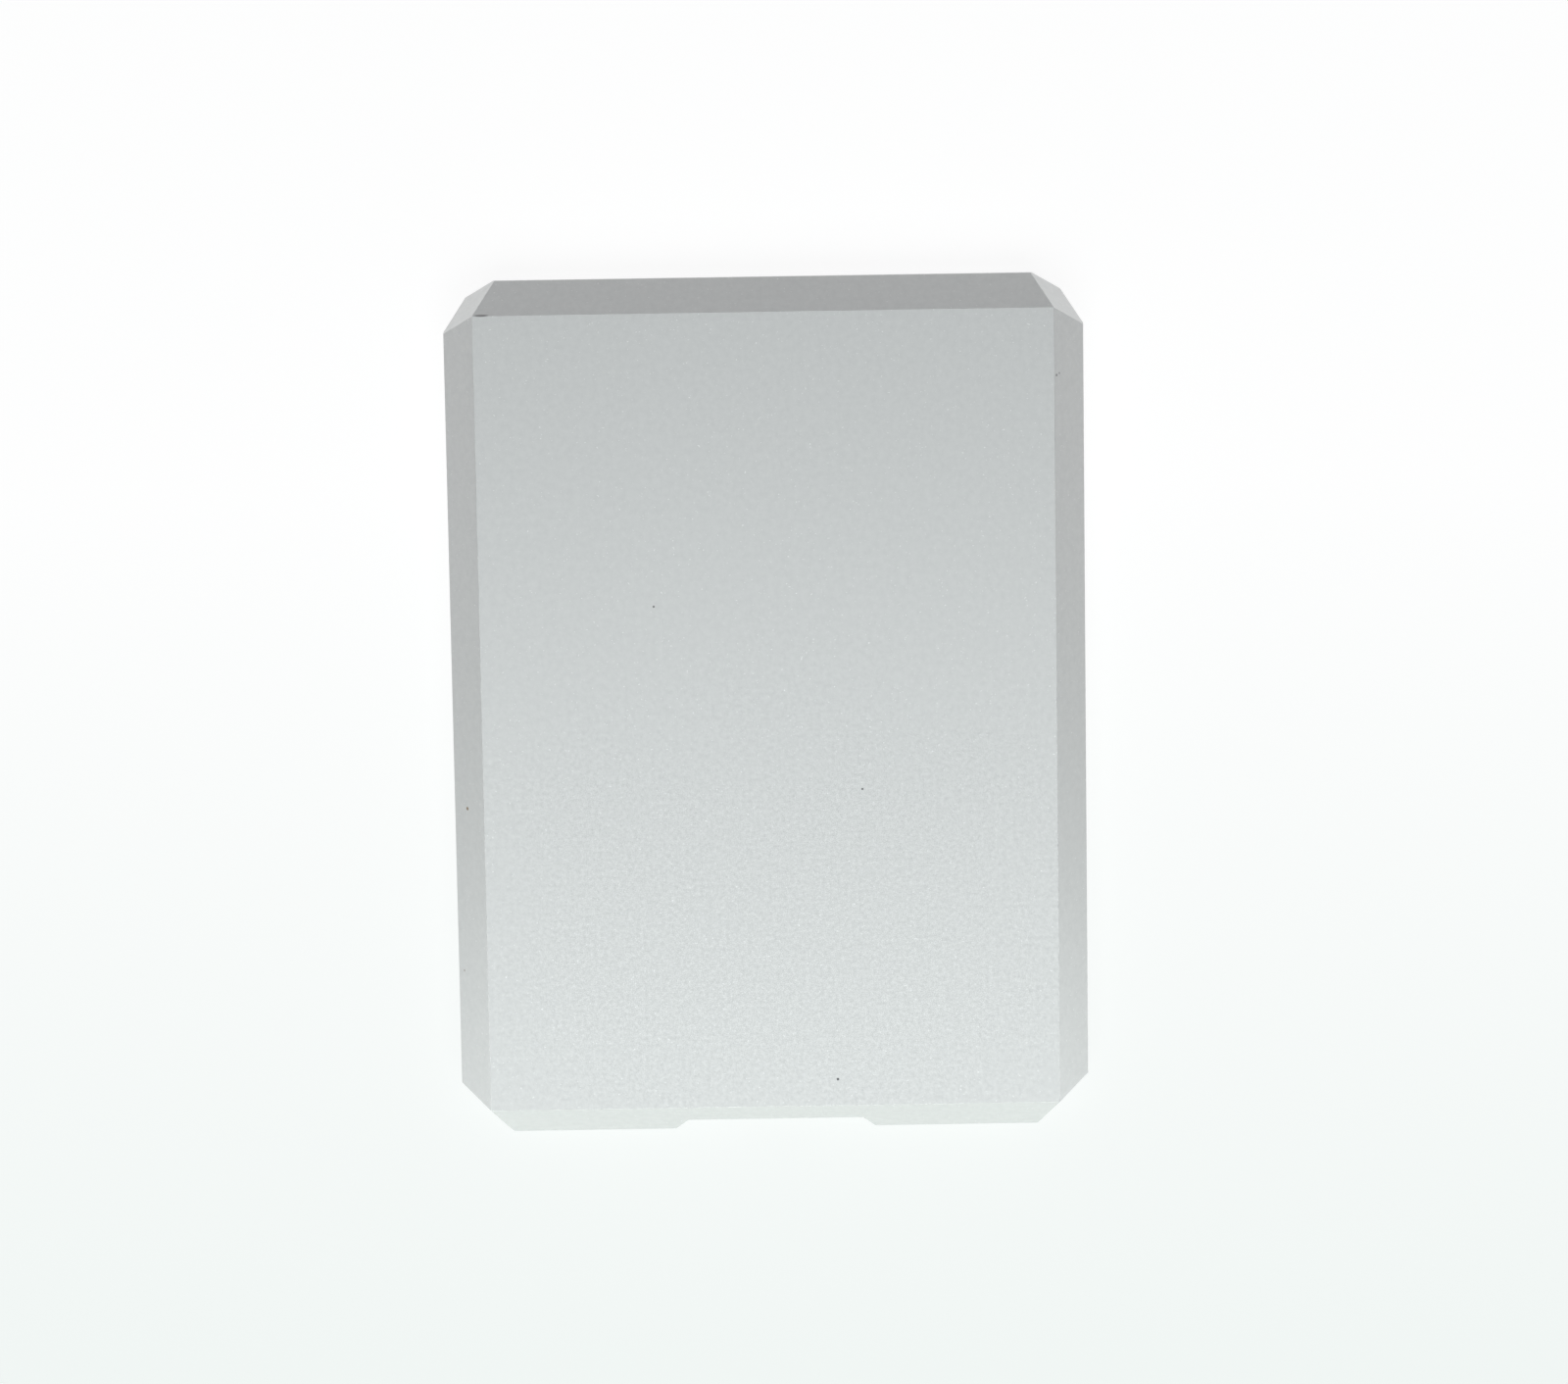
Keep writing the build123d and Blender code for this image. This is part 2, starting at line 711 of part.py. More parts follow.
with BuildPart() as upper_yoke:
    with BuildSketch(arm_frame.offset(upper_yoke_z)):
        add(sector(yoke_inner, yoke_outer, yoke_middle, post_angle + yoke_margin))
    extrude(amount=yoke_thickness)
    with BuildSketch(arm_frame.offset(magnet_z)):
        with Locations(*post_places):
            RegularPolygon(post_radius, screw_sides)
    extrude(amount=upper_yoke_z - magnet_z)

with BuildPart() as crash_stops:
    with BuildSketch(arm_frame.offset(coil_z)):
        with Locations(*post_places):
            RegularPolygon(post_radius + stop_rubber, screw_sides)
            RegularPolygon(post_radius, screw_sides, mode=Mode.SUBTRACT)
    extrude(amount=coil_thickness)

# Load ramp beside the disc's edge, and the pad that filters the air.
shelf_reach = tab_end - tab_length / 2
ramp_angle = parked_swing - swing_from_spindle(disc_radius + disc_clearance, shelf_reach)
shelf_z = lower_arm_z + arm_thickness + shelf_gap

with BuildPart() as load_ramp:
    with BuildSketch(arm_frame.offset(deck_z)):
        add(sector(tab_end + ramp_gap, tab_end + ramp_gap + ramp_wall, 0, ramp_angle))
    extrude(amount=upper_arm_z - shelf_gap - deck_z)
    with BuildSketch(arm_frame.offset(shelf_z)):
        add(sector(shelf_reach, tab_end + 2 * ramp_gap, 0, ramp_angle))
    extrude(amount=upper_arm_z - shelf_gap - shelf_z)

with BuildPart() as air_filter:
    with BuildSketch(Plane.XY.offset(deck_z)):
        with Locations((well_width / 2 - filter_width, well_end + filter_thickness)):
            Rectangle(filter_width, filter_thickness)
    extrude(amount=rim_z - deck_z)

# The drive's own circuit board, with its chips facing the base, and its plug.
chip_row_y = (well_end + board_end) / 2

with BuildPart() as drive_board:
    with BuildSketch(Plane.XY.offset(drive_z)):
        with Locations((0, board_y)):
            Rectangle(board_width - 2 * board_gap, board_end - connector_y - 2 * board_gap)
        with Locations(*board_screw_places):
            RegularPolygon(screw_radius + screw_fit, screw_sides, mode=Mode.SUBTRACT)
    extrude(amount=drive_board_thickness)

with BuildPart() as board_screws:
    with Locations(*[Location((x, y, drive_z), (180, 0, 0)) for x, y in board_screw_places]):
        add(screw(screw_head, board_head_height, screw_radius, board_hole_z - drive_z - chip_gap))

with BuildPart() as drive_controller:
    with BuildSketch(Plane.XY.offset(board_top)):
        with Locations((0, chip_row_y)):
            Rectangle(drive_controller_side, drive_controller_side)
    extrude(amount=chip_height)

with BuildPart() as cache_memory:
    with BuildSketch(Plane.XY.offset(board_top)):
        with Locations(((drive_controller_side + cache_width) / 2 + chip_spacing, chip_row_y)):
            Rectangle(cache_width, cache_length)
    extrude(amount=chip_height)

with BuildPart() as motor_driver:
    with BuildSketch(Plane.XY.offset(board_top)):
        with Locations((-(drive_controller_side + motor_driver_side) / 2 - chip_spacing, chip_row_y)):
            Rectangle(motor_driver_side, motor_driver_side)
    extrude(amount=chip_height)

tongue_room = sata_width - 2 * plug_wall - 3 * tongue_gap
power_width = tongue_room - signal_width
signal_x = sata_x + (power_width + tongue_gap) / 2
power_x = sata_x - (signal_width + tongue_gap) / 2

with BuildPart() as sata_plug:
    with BuildSketch(connector_face):
        with Locations((sata_x, plug_z)):
            Rectangle(sata_width, plug_height)
    extrude(amount=-plug_depth)
    with BuildSketch(connector_face):
        with Locations((sata_x, plug_z)):
            Rectangle(sata_width - 2 * plug_wall, plug_height - 2 * plug_wall)
    extrude(amount=-plug_depth + plug_wall, mode=Mode.SUBTRACT)
    with BuildSketch(connector_face.offset(-plug_depth + plug_wall)):
        with Locations((signal_x, plug_z)):
            Rectangle(signal_width, plug_tongue)
        with Locations((power_x, plug_z)):
            Rectangle(power_width, plug_tongue)
    extrude(amount=plug_depth - 2 * plug_wall)

# Foam between the drive and the shells.
with BuildPart() as front_pad:
    with BuildSketch(Plane.XY.offset(drive_top)):
        with Locations((0, drive_y)):
            Rectangle(drive_width - 2 * pad_margin, drive_length - 2 * pad_margin)
    extrude(amount=pad_thickness)

with BuildPart() as back_pad:
    with BuildSketch(Plane.XY.offset(wall)):
        with Locations((0, (board_end + far_wall_y) / 2)):
            Rectangle(drive_width - 2 * pad_margin, far_wall_y - board_end - pad_margin)
    extrude(amount=pad_thickness)

# Bridge board between the drive and the port, with the receptacles at its two edges.
with BuildPart() as bridge_board:
    with BuildSketch(Plane.XY.offset(bridge_z)):
        with Locations((0, bridge_y)):
            Rectangle(bridge_width, bridge_bay_depth - bridge_gap)
        with Locations(*bridge_screw_places):
            RegularPolygon(bridge_screw_radius + screw_fit, screw_sides, mode=Mode.SUBTRACT)
    extrude(amount=bridge_thickness)

with BuildPart() as bridge_screws:
    with Locations(*[(x, y, bridge_top) for x, y in bridge_screw_places]):
        add(
            screw(
                2 * bridge_screw_radius,
                bridge_head_height,
                bridge_screw_radius,
                bridge_top - wall - frame_gap - bridge_gap,
            )
        )

with BuildPart() as usb_shell:
    with BuildSketch(usb_face):
        with Locations((0, port_z)):
            SlotOverall(usb_width, usb_height)
            SlotOverall(usb_width - 2 * usb_sheet, usb_height - 2 * usb_sheet, mode=Mode.SUBTRACT)
    extrude(amount=-usb_depth)

with BuildPart() as usb_tongue:
    with BuildSketch(usb_face.offset(-usb_depth)):
        with Locations((0, port_z)):
            SlotOverall(usb_width - 2 * usb_sheet, usb_height - 2 * usb_sheet)
    extrude(amount=tongue_block)
    with BuildSketch(usb_face.offset(-usb_depth)):
        with Locations((0, port_z)):
            Rectangle(tongue_width, tongue_thickness)
    extrude(amount=usb_depth - tongue_setback)

with BuildPart() as usb_contacts:
    with BuildSketch(usb_face.offset(-tongue_setback - contact_pitch)):
        for side in (-1, 1):
            with Locations((0, port_z + side * (tongue_thickness + contact_thickness) / 2)):
                with GridLocations(contact_pitch, 0, contact_count, 1):
                    Rectangle(contact_width, contact_thickness)
    extrude(amount=-contact_length)

with BuildPart() as sata_receptacle:
    body_top = plug_top - plug_wall
    with BuildSketch(connector_face.offset(receptacle_depth)):
        with Locations((sata_x, (bridge_top + body_top) / 2)):
            Rectangle(sata_width - 2 * plug_wall, body_top - bridge_top)
    extrude(amount=nose_gap - receptacle_depth)
    with BuildSketch(connector_face.offset(nose_gap)):
        with Locations((sata_x, plug_z)):
            Rectangle(sata_width - 2 * plug_wall - 2 * nose_gap, plug_height - 2 * plug_wall - 2 * nose_gap)
    extrude(amount=2 * plug_wall - plug_depth)
    with BuildSketch(connector_face.offset(-plug_depth)):
        with Locations((sata_x, plug_z)):
            Rectangle(sata_width - 4 * plug_wall, plug_tongue + 2 * nose_gap)
    extrude(amount=plug_depth + plug_wall, mode=Mode.SUBTRACT)

connectors_left = min(sata_left, -usb_width / 2)
crystal_x = connectors_left - part_spacing - crystal_width / 2
controller_x = crystal_x - (crystal_width + controller_side) / 2 - part_spacing
memory_x = controller_x - (controller_side + memory_width) / 2 - part_spacing
inductor_x = lamp_offset + (lamp_width + inductor_side) / 2 + 2 * part_spacing
capacitor_x = inductor_x + inductor_side / 2 + part_spacing + capacitor_width
power_row_y = bridge_bay_y + bridge_gap + part_spacing + inductor_side / 2

with BuildPart() as bridge_controller:
    with BuildSketch(Plane.XY.offset(bridge_top)):
        with Locations((controller_x, bridge_y)):
            Rectangle(controller_side, controller_side)
    extrude(amount=controller_height)

with BuildPart() as firmware_memory:
    with BuildSketch(Plane.XY.offset(bridge_top)):
        with Locations((memory_x, bridge_y)):
            Rectangle(memory_width, memory_length)
    extrude(amount=memory_height)

with BuildPart() as crystal:
    with BuildSketch(Plane.XY.offset(bridge_top)):
        with Locations((crystal_x, bridge_y)):
            Rectangle(crystal_width, crystal_length)
    extrude(amount=crystal_height)

with BuildPart() as power_inductor:
    with BuildSketch(Plane.XY.offset(bridge_top)):
        with Locations((inductor_x, power_row_y)):
            Rectangle(inductor_side, inductor_side)
    extrude(amount=inductor_height)

with BuildPart() as capacitors:
    with BuildSketch(Plane.XY.offset(bridge_top)):
        with Locations((capacitor_x, power_row_y)):
            with GridLocations(capacitor_width + part_spacing, 0, 2, 1):
                Rectangle(capacitor_width, capacitor_length)
    extrude(amount=capacitor_height)

# Status lamp on the board's front edge, behind the light pipe that fills the window beside the port.
lamp_y = bridge_bay_y + bridge_gap / 2 + lamp_gap

with BuildPart() as status_lamp:
    with BuildSketch(Plane.XZ.offset(-lamp_y)):
        with Locations((lamp_offset, bridge_top + lamp_height / 2)):
            Rectangle(lamp_width, lamp_height)
    extrude(amount=-lamp_depth)

with BuildPart() as light_pipe:
    with BuildSketch(port_face):
        with Locations((lamp_offset, lamp_z)):
            Circle(lamp_radius)
    extrude(amount=notch_y - lamp_y)

os.makedirs("parts", exist_ok=True)
nodes = {
    "front_shell": front_shell,
    "back_shell": back_shell,
    "inner_frame": inner_frame,
    "corner_bumpers": corner_bumpers,
    "front_pad": front_pad,
    "back_pad": back_pad,
    "bridge_board": bridge_board,
    "bridge_screws": bridge_screws,
    "usb_shell": usb_shell,
    "usb_tongue": usb_tongue,
    "usb_contacts": usb_contacts,
    "sata_receptacle": sata_receptacle,
    "bridge_controller": bridge_controller,
    "firmware_memory": firmware_memory,
    "crystal": crystal,
    "power_inductor": power_inductor,
    "capacitors": capacitors,
    "status_lamp": status_lamp,
    "light_pipe": light_pipe,
    "drive_base": drive_base,
    "drive_cover": drive_cover,
    "cover_seal": cover_seal,
    "cover_screws": cover_screws,
    "stator_core": stator_core,
    "stator_coils": stator_coils,
    "bearing_sleeve": bearing_sleeve,
    "rotor_magnet": rotor_magnet,
    "spindle_hub": spindle_hub,
    "disc": disc,
    "disc_clamp": disc_clamp,
    "clamp_screw": clamp_screw,
    "actuator_block": actuator_block,
    "pivot_sleeve": pivot_sleeve,
    "voice_coil": voice_coil,
    "suspensions": suspensions,
    "sliders": sliders,
    "pivot_shaft": pivot_shaft,
    "pivot_screw": pivot_screw,
    "lower_yoke": lower_yoke,
    "coil_magnet": coil_magnet,
    "upper_yoke": upper_yoke,
    "crash_stops": crash_stops,
    "load_ramp": load_ramp,
    "air_filter": air_filter,
    "drive_board": drive_board,
    "board_screws": board_screws,
    "drive_controller": drive_controller,
    "cache_memory": cache_memory,
    "motor_driver": motor_driver,
    "sata_plug": sata_plug,
}
for name, node in nodes.items():
    node.part.label = name
    export_step(node.part, f"parts/{name}.step")
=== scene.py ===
import json
import math

import bmesh
import bpy
from mathutils import Matrix, Vector


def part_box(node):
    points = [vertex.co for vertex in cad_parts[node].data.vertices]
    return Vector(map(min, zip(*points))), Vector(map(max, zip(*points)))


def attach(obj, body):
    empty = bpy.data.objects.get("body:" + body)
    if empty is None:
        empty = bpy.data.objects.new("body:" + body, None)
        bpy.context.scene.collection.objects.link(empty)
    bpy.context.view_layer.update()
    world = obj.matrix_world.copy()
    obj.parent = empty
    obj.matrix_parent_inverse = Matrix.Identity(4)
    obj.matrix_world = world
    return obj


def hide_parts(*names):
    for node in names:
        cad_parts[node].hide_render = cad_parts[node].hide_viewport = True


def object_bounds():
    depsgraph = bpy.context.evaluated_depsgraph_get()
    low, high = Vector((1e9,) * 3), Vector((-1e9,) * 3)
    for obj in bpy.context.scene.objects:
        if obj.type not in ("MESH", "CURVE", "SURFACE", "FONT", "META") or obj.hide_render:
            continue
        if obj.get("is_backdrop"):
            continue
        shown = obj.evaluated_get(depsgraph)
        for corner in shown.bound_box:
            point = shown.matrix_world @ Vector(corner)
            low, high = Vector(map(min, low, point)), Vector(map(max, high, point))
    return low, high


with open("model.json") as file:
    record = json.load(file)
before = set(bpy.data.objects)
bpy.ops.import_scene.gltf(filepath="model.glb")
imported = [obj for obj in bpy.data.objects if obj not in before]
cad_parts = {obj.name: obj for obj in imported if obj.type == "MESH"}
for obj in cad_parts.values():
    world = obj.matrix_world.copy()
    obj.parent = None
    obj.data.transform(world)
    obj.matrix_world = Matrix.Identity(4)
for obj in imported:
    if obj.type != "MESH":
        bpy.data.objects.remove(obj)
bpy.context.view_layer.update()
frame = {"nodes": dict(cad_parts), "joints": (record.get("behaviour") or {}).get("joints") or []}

node = frame["nodes"]

# Back shell: the lower half of the casing, milled from aluminium and then blasted with fine beads, which
# leaves an even silver grain under a clear anodised skin; its tiny bright facets are painted glints in the
# colour. Its edges are crisp and rubbed a little brighter, and that brightness is partly a painted
# highlight.


def new_finish(name, colour, roughness, metallic=0.0):
    """A material whose constant values stand on the shader's own sockets."""
    finish = bpy.data.materials.new(name)
    finish.use_nodes = True
    shader = shader_of(finish)
    shader.inputs["Base Color"].default_value = (*colour, 1)
    shader.inputs["Roughness"].default_value = roughness
    shader.inputs["Metallic"].default_value = metallic
    return finish


def shader_of(finish):
    """The one shader of a finish."""
    return finish.node_tree.nodes["Principled BSDF"]


def link_to(finish, value, socket):
    """Lets a node's value drive one socket of the shader."""
    finish.node_tree.links.new(value, shader_of(finish).inputs[socket])


def in_millimetres(finish, stretch=(1, 1, 1)):
    """The surface point in the drive's own frame, in millimetres times stretch."""
    tree = finish.node_tree
    place = tree.nodes.new("ShaderNodeTexCoord")
    scale = tree.nodes.new("ShaderNodeVectorMath")
    scale.operation = "MULTIPLY"
    scale.inputs[1].default_value = [1000 * share for share in stretch]
    tree.links.new(place.outputs["Object"], scale.inputs[0])
    return scale.outputs["Vector"]


def grain(finish, per_mm, detail=2.0, stretch=(1, 1, 1)):
    """A noise between 0 and 1 with about per_mm grains in a millimetre."""
    tree = finish.node_tree
    noise = tree.nodes.new("ShaderNodeTexNoise")
    noise.inputs["Scale"].default_value = per_mm
    noise.inputs["Detail"].default_value = detail
    tree.links.new(in_millimetres(finish, stretch), noise.inputs["Vector"])
    return noise.outputs["Fac"]


def spread(finish, value, low, high, start=0.3, end=0.7):
    """A value from start to end moved to low to high; most of a noise lies between 0.3 and 0.7."""
    tree = finish.node_tree
    ranged = tree.nodes.new("ShaderNodeMapRange")
    for socket, number in (("From Min", start), ("From Max", end), ("To Min", low), ("To Max", high)):
        ranged.inputs[socket].default_value = number
    tree.links.new(value, ranged.inputs["Value"])
    return ranged.outputs["Result"]


def tint(finish, share, below, above):
    """Colour that goes from below to above as share goes from 0 to 1; either may be a socket."""
    tree = finish.node_tree
    mix = tree.nodes.new("ShaderNodeMix")
    mix.data_type = "RGBA"
    tree.links.new(share, mix.inputs["Factor"])
    for socket, colour in ((mix.inputs["A"], below), (mix.inputs["B"], above)):
        if isinstance(colour, bpy.types.NodeSocket):
            tree.links.new(colour, socket)
        else:
            socket.default_value = (*colour, 1)
    return mix.outputs["Result"]


def emboss(finish, height, depth_mm, strength=1.0):
    """Raises the surface by height times depth_mm in the shading."""
    tree = finish.node_tree
    bump = tree.nodes.new("ShaderNodeBump")
    bump.inputs["Strength"].default_value = strength
    bump.inputs["Distance"].default_value = depth_mm / 1000
    tree.links.new(height, bump.inputs["Height"])
    link_to(finish, bump.outputs["Normal"], "Normal")


def dress(finish, *names):
    """Gives CAD nodes their finish."""
    for name in names:
        node[name].data.materials.clear()
        node[name].data.materials.append(finish)


def break_edges(width_mm, *names, rubbed=None):
    """Rounds a CAD node's sharp edges by width_mm, as deburring does; rubbed is their own finish,
    which on the shells is brighter from wear and partly a painted highlight.

    The triangles of each flat face are joined first, so that no sliver of edge runs into the face.
    """
    for name in names:
        weld = node[name].modifiers.new("one_skin", "WELD")
        weld.merge_threshold = 1e-6
        flat = node[name].modifiers.new("whole_faces", "DECIMATE")
        flat.decimate_type = "DISSOLVE"
        flat.angle_limit = math.radians(0.5)
        edge = node[name].modifiers.new("broken_edges", "BEVEL")
        edge.width = width_mm / 1000
        edge.segments = 2
        edge.limit_method = "ANGLE"
        edge.angle_limit = math.radians(15)
        even = node[name].modifiers.new("flat_faces", "WEIGHTED_NORMAL")
        even.keep_sharp = False
        if rubbed:
            node[name].data.materials.append(rubbed)
            edge.material = 1


silver = (0.70, 0.71, 0.707)
silver_shade = (0.668, 0.678, 0.676)
painted_glint_silver = (0.86, 0.87, 0.87)
blasted = new_finish("blasted_aluminium", silver, roughness=0.52, metallic=1.0)
skin = tint(blasted, spread(blasted, grain(blasted, per_mm=1.1, detail=3.0), 0, 1), silver_shade, silver)
# Painted glints: bright spots in the metal's colour stand in for facets catching the light.
painted_glint_spots = spread(blasted, grain(blasted, per_mm=4.5, detail=0.0), 0, 1, start=0.79, end=0.86)
link_to(blasted, tint(blasted, painted_glint_spots, skin, painted_glint_silver), "Base Color")
link_to(blasted, spread(blasted, grain(blasted, per_mm=2.0), 0.49, 0.55), "Roughness")
emboss(blasted, grain(blasted, per_mm=3.2), depth_mm=0.012, strength=0.27)

# Painted highlight: the edge colour is lighter than the skin, partly as wear and partly as light on the
# edges.
worn_edge_highlight_silver = (0.86, 0.865, 0.86)
worn_and_highlight_edge = new_finish("worn_and_highlight_edge", worn_edge_highlight_silver, roughness=0.44, metallic=1.0)
worn_highlight_patches = spread(worn_and_highlight_edge, grain(worn_and_highlight_edge, per_mm=0.35, detail=3.0), 0, 1)
link_to(worn_and_highlight_edge, tint(worn_and_highlight_edge, worn_highlight_patches, silver, worn_edge_highlight_silver), "Base Color")
rubbed_gloss = spread(worn_and_highlight_edge, grain(worn_and_highlight_edge, per_mm=0.6, detail=3.0), 0.36, 0.52)
link_to(worn_and_highlight_edge, rubbed_gloss, "Roughness")
emboss(worn_and_highlight_edge, grain(worn_and_highlight_edge, per_mm=5.0), depth_mm=0.008, strength=0.4)

shell_edge = 0.12
dress(blasted, "back_shell")
break_edges(shell_edge, "back_shell", rubbed=worn_and_highlight_edge)

# Inner frame: one black moulding of glass-filled plastic, a ring round the disk drive with ribs out to
# the shells and a floored bay for the bridge board. It drops into the back shell and the front shell
# traps it.


def grained(name, colour, shade, per_mm, smooth, rough, relief_mm=0.0, metallic=0.0, stretch=(1, 1, 1)):
    """A finish whose colour wanders from shade to colour, smooth in places and rough in others.

    The finest grain, per_mm to a millimetre, stands out by relief_mm.
    """
    finish = new_finish(name, colour, (smooth + rough) / 2, metallic)
    patches = spread(finish, grain(finish, per_mm / 6, 3.0, stretch), 0, 1)
    link_to(finish, tint(finish, patches, shade, colour), "Base Color")
    link_to(finish, spread(finish, grain(finish, per_mm / 2, 2.0, stretch), smooth, rough), "Roughness")
    if relief_mm:
        emboss(finish, grain(finish, per_mm, 2.0, stretch), relief_mm)
    return finish


moulded = grained(
    "black_plastic", colour=(0.05, 0.05, 0.055), shade=(0.038, 0.038, 0.042),
    per_mm=6.0, smooth=0.48, rough=0.62, relief_mm=0.012,
)
dress(moulded, "inner_frame")
break_edges(0.12, "inner_frame")

# Corner bumpers: four angles of soft black rubber, moulded, that are pushed over the corners of the disk
# drive and take up knocks between it and the frame.
rubber = grained(
    "bumper_rubber", colour=(0.04, 0.04, 0.04), shade=(0.055, 0.055, 0.058),
    per_mm=4.0, smooth=0.7, rough=0.88, relief_mm=0.02,
)
dress(rubber, "corner_bumpers")
break_edges(0.2, "corner_bumpers")

# Foam pads: two pieces die-cut from closed-cell foam sheet and stuck to the drive's cover and underside.
# Squeezed between the drive and the shells, their cut sides bulge a little and draw in between the
# corners.


def join_rings(form, rings):
    """Skins a stack of rings that have as many points each, and closes both ends."""
    loops = [[form.verts.new(point) for point in ring] for ring in rings]
    for lower, upper in zip(loops, loops[1:]):
        for k in range(len(lower)):
            after = (k + 1) % len(lower)
            form.faces.new((lower[k], lower[after], upper[after], upper[k]))
    form.faces.new(loops[0][::-1])
    form.faces.new(loops[-1])


def make_piece(name, form, finish, body):
    """Turns a form drawn in millimetres into a piece that rides on a body."""
    bmesh.ops.recalc_face_normals(form, faces=form.faces)
    bmesh.ops.scale(form, vec=(0.001, 0.001, 0.001), verts=form.verts)
    mesh = bpy.data.meshes.new(name)
    form.to_mesh(mesh)
    form.free()
    mesh.shade_smooth()
    mesh.set_sharp_from_angle(angle=math.radians(40))
    mesh.materials.append(finish)
    piece = bpy.data.objects.new(name, mesh)
    bpy.context.scene.collection.objects.link(piece)
    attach(piece, body)
    return piece


def box_mm(name):
    """A CAD node's lowest and highest corners, in millimetres."""
    return [1000 * Vector(corner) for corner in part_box(name)]


def pad_outline(half_x, half_y, corner, bow):
    """Points round a die-cut pad with round corners, whose sides draw in by bow at their middles."""
    corner_steps = 6
    side_steps = 12
    turns = ((1, 1), (-1, 1), (-1, -1), (1, -1))
    points = []
    for k, (side_x, side_y) in enumerate(turns):
        centre = Vector((side_x * (half_x - corner), side_y * (half_y - corner)))
        for step in range(corner_steps + 1):
            angle = math.radians(90 * (k + step / corner_steps))
            points.append(centre + corner * Vector((math.cos(angle), math.sin(angle))))
        next_x, next_y = turns[(k + 1) % 4]
        outward = Vector((side_x + next_x, side_y + next_y)) / 2
        start = points[-1]
        end = Vector((next_x * (half_x - corner), next_y * (half_y - corner))) + corner * outward
        for step in range(1, side_steps):
            share = step / side_steps
            points.append(start.lerp(end, share) - bow * math.sin(math.pi * share) * outward)
    return points


def cut_pad(name, stands_for, finish, edge_shape, corner, bow):
    """A soft pad in the space of a CAD node; edge_shape is its side, as (inset, share of the height)."""
    low, high = box_mm(stands_for)
    middle = (low + high) / 2
    half = (high - low) / 2
    outline = pad_outline(half.x, half.y, corner, bow)
    rings = []
    for inset, share in edge_shape:
        level = low.z + share * (high.z - low.z)
        narrow_x = 1 - inset / half.x
        narrow_y = 1 - inset / half.y
        rings.append([(middle.x + x * narrow_x, middle.y + y * narrow_y, level) for x, y in outline])
    form = bmesh.new()
    join_rings(form, rings)
    piece = make_piece(name, form, finish, "casing")
    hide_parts(stands_for)


def cells(finish, per_mm):
    """Distance from the middle of round cells, about per_mm of them in a millimetre."""
    tree = finish.node_tree
    bubble = tree.nodes.new("ShaderNodeTexVoronoi")
    bubble.inputs["Scale"].default_value = per_mm
    tree.links.new(in_millimetres(finish), bubble.inputs["Vector"])
    return bubble.outputs["Distance"]


foam = grained(
    "pad_foam", colour=(0.16, 0.16, 0.17), shade=(0.12, 0.12, 0.13), per_mm=3.0, smooth=0.85, rough=0.97,
)
emboss(foam, spread(foam, cells(foam, per_mm=4.0), 0, 1, start=0.0, end=0.8), depth_mm=0.06)
foam_edge = ((8.0, 0), (0.3, 0), (0.06, 0.14), (0, 0.5), (0.06, 0.86), (0.3, 1), (8.0, 1))
foam_corner = 3.0
cut_pad("front_foam_pad", "front_pad", foam, foam_edge, foam_corner, bow=0.5)
cut_pad("back_foam_pad", "back_pad", foam, foam_edge, foam_corner, bow=0.4)

# Drive base: the disk drive's die-cast aluminium tub, with wells for the disc, the actuator and the
# motor and a pocket below for the circuit board. The casting is left grey and mottled, and only the rim
# that carries the cover is milled bright.


def coordinate(finish, axis):
    """How far along one axis of the drive the surface point lies, in millimetres."""
    split = finish.node_tree.nodes.new("ShaderNodeSeparateXYZ")
    finish.node_tree.links.new(in_millimetres(finish), split.inputs["Vector"])
    return split.outputs[axis]


def along(finish, axis, low_mm, high_mm):
    """0 before low and 1 after high along one axis of the drive."""
    return spread(finish, coordinate(finish, axis), 0, 1, low_mm, high_mm)


def colour_so_far(finish):
    """The socket that gives a finish its colour until now."""
    return shader_of(finish).inputs["Base Color"].links[0].from_socket


cast = grained(
    "cast_aluminium", colour=(0.55, 0.56, 0.57), shade=(0.44, 0.45, 0.47),
    per_mm=2.5, smooth=0.4, rough=0.6, relief_mm=0.02, metallic=1.0,
)
milled_bright = (0.74, 0.75, 0.76)
rim_level = box_mm("drive_base")[1].z
milled_rim = along(cast, "Z", rim_level - 0.05, rim_level - 0.02)
link_to(cast, tint(cast, milled_rim, colour_so_far(cast), milled_bright), "Base Color")
dress(cast, "drive_base")
break_edges(0.1, "drive_base")

# Drive board: a green glass-fibre board under the base, chips upwards in the pocket, held by four screws.
# Etched copper tracks show as ridges under the lacquer and the drilled holes are plated; two of the chips
# stand on bent tinned legs, and the black plug at its end carries gold-plated strips.


